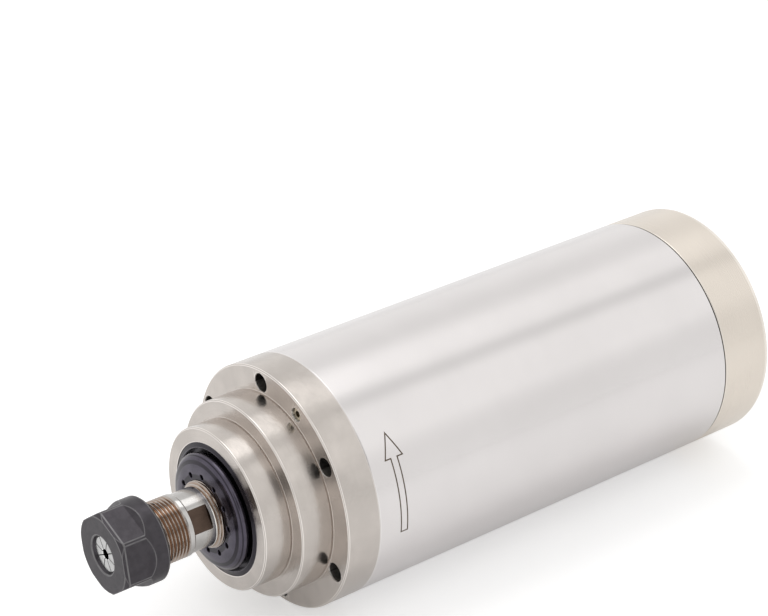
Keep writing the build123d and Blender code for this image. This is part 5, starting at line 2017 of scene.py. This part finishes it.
@dataclass
class Studio:
    """White floor, soft light all round and the camera."""

    floor_z: float = -50.0
    floor_reach: float = 12000.0
    floor_grey: float = 0.80
    floor_glow: float = 0.42      # light that the floor adds where it is looked at
    mirrored_glow: float = 0.14   # light that it adds where it is mirrored
    camera_at: Place = (662.5, -453.5, 520.0)
    right: Place = (0.6087, 0.7934, 0.0)
    down: Place = (0.3824, -0.2934, -0.8760)
    forward: Place = (-0.6950, 0.5334, -0.4820)
    focal_px: float = 2463.48
    frame_px: int = 768
    sensor: float = 36.0
    clip: Point = (0.01, 100.0)   # metres
    light_level: float = 0.98
    sky_color: Color = (1.0, 0.997, 0.99)
    dim_cone: Point = (0.91, 0.995)  # cosines from the camera's side at which the sky dims
    dim_level: float = 0.22
    lamp_at: Place = (-0.4, 0.1, 1.4)  # metres
    lamp_towards: Place = (0.4, 0.0, -1.4)
    lamp_size: Point = (1.2, 0.8)
    lamp_watts: float = 3.0

    def camera(self) -> None:
        """Sets the camera up."""
        data = bpy.data.cameras.new("camera")
        data.sensor_fit, data.sensor_width = "HORIZONTAL", self.sensor
        data.lens = self.focal_px * self.sensor / self.frame_px
        data.clip_start, data.clip_end = self.clip
        camera = place("camera", data)
        axes = Matrix((self.right, -Vector(self.down), -Vector(self.forward))).transposed().to_4x4()
        camera.matrix_world = Matrix.Translation(Vector(self.camera_at) * MM) @ axes
        bpy.context.scene.camera = camera

    def floor(self) -> None:
        """Lays the floor, white to the eye and with the spindle's soft shadow on it."""
        reach, z = self.floor_reach, self.floor_z
        mesh = bpy.data.meshes.new("floor")
        corners = ((-reach, -reach), (reach, -reach), (reach, reach), (-reach, reach))
        mesh.from_pydata([(x * MM, y * MM, z * MM) for x, y in corners], [], [(0, 1, 2, 3)])
        floor = place("floor", mesh)
        material = bpy.data.materials.new("floor_white")
        graph = Graph.emptied(material)
        grey = (self.floor_grey,) * 3
        cloth = graph.add("ShaderNodeBsdfDiffuse", {"Color": (*grey, 1.0)}).outputs[0]
        path = graph.add("ShaderNodeLightPath").outputs
        seen = graph.math("MAXIMUM", path["Is Camera Ray"], path["Is Transmission Ray"])
        lift = graph.math("MULTIPLY", seen, self.floor_glow)
        lift = graph.math("MULTIPLY_ADD", path["Is Glossy Ray"], self.mirrored_glow, lift)
        glow = graph.add("ShaderNodeEmission", {"Strength": lift}).outputs[0]
        both = graph.add("ShaderNodeAddShader", {0: cloth, 1: glow}).outputs[0]
        graph.add("ShaderNodeOutputMaterial", {"Surface": both})
        mesh.materials.append(material)

    def sky(self) -> None:
        """Lights the scene from all round, with softer and stronger bands above the spindle."""
        world = bpy.data.worlds.new("studio")
        bpy.context.scene.world = world
        graph = Graph.emptied(world)
        towards = graph.add("ShaderNodeTexCoord").outputs["Generated"]
        x, y, z = graph.split(towards)
        turn = graph.math("DIVIDE", graph.math("ARCTAN2", z, x), TURN)
        band = graph.add("ShaderNodeValToRGB", {0: graph.math("FRACT", turn)})
        ramp = band.color_ramp
        ramp.interpolation = "B_SPLINE"
        while len(ramp.elements) < len(SKY_BANDS):
            ramp.elements.new(0.5)
        for element, (at, level) in zip(ramp.elements, SKY_BANDS):
            element.position = at
            element.color = (level, level, level, 1.0)
        sides = {0: graph.combine(x, y, z), 1: Vector(self.camera_at).normalized()}
        facing = graph.add("ShaderNodeVectorMath", sides, operation="DOT_PRODUCT").outputs["Value"]
        dim = graph.clamp_range(facing, *self.dim_cone, 1.0, self.dim_level)
        light = graph.math("MULTIPLY", band.outputs[0], dim)
        level = graph.math("MULTIPLY", light, self.light_level)
        direct = graph.add("ShaderNodeLightPath").outputs["Is Camera Ray"]
        shown = graph.add("ShaderNodeMix", {0: direct, 2: level, 3: 1.0}).outputs[0]
        inputs = {"Color": (*self.sky_color, 1.0), "Strength": shown}
        background = graph.add("ShaderNodeBackground", inputs).outputs[0]
        graph.add("ShaderNodeOutputWorld", {"Surface": background})

    def lamps(self) -> None:
        """Hangs one wide soft lamp overhead."""
        data = bpy.data.lights.new("overhead", "AREA")
        data.shape, data.energy = "RECTANGLE", self.lamp_watts
        data.size, data.size_y = self.lamp_size
        lamp = place("overhead", data)
        lamp.location = self.lamp_at
        lamp.rotation_euler = Vector(self.lamp_towards).to_track_quat("-Z", "Y").to_euler()

    def build(self) -> None:
        """Builds the studio."""
        bpy.context.scene.view_settings.view_transform = "Standard"
        self.camera()
        self.floor()
        self.sky()
        self.lamps()


ASSEMBLIES = (
    FrontHousing, NoseSeal, ShaftNose, ColletAndNut, Sleeve, RearCover, RearFittings, CarriedOver,
)


def main() -> None:
    """Builds every sub-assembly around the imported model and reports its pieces."""
    logging.basicConfig(level=logging.INFO, format="%(name)s: %(message)s")
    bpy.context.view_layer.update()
    for assembly in ASSEMBLIES:
        assembly().build()
    Studio().build()
    bpy.context.view_layer.update()


if __name__ == "__main__":
    main()
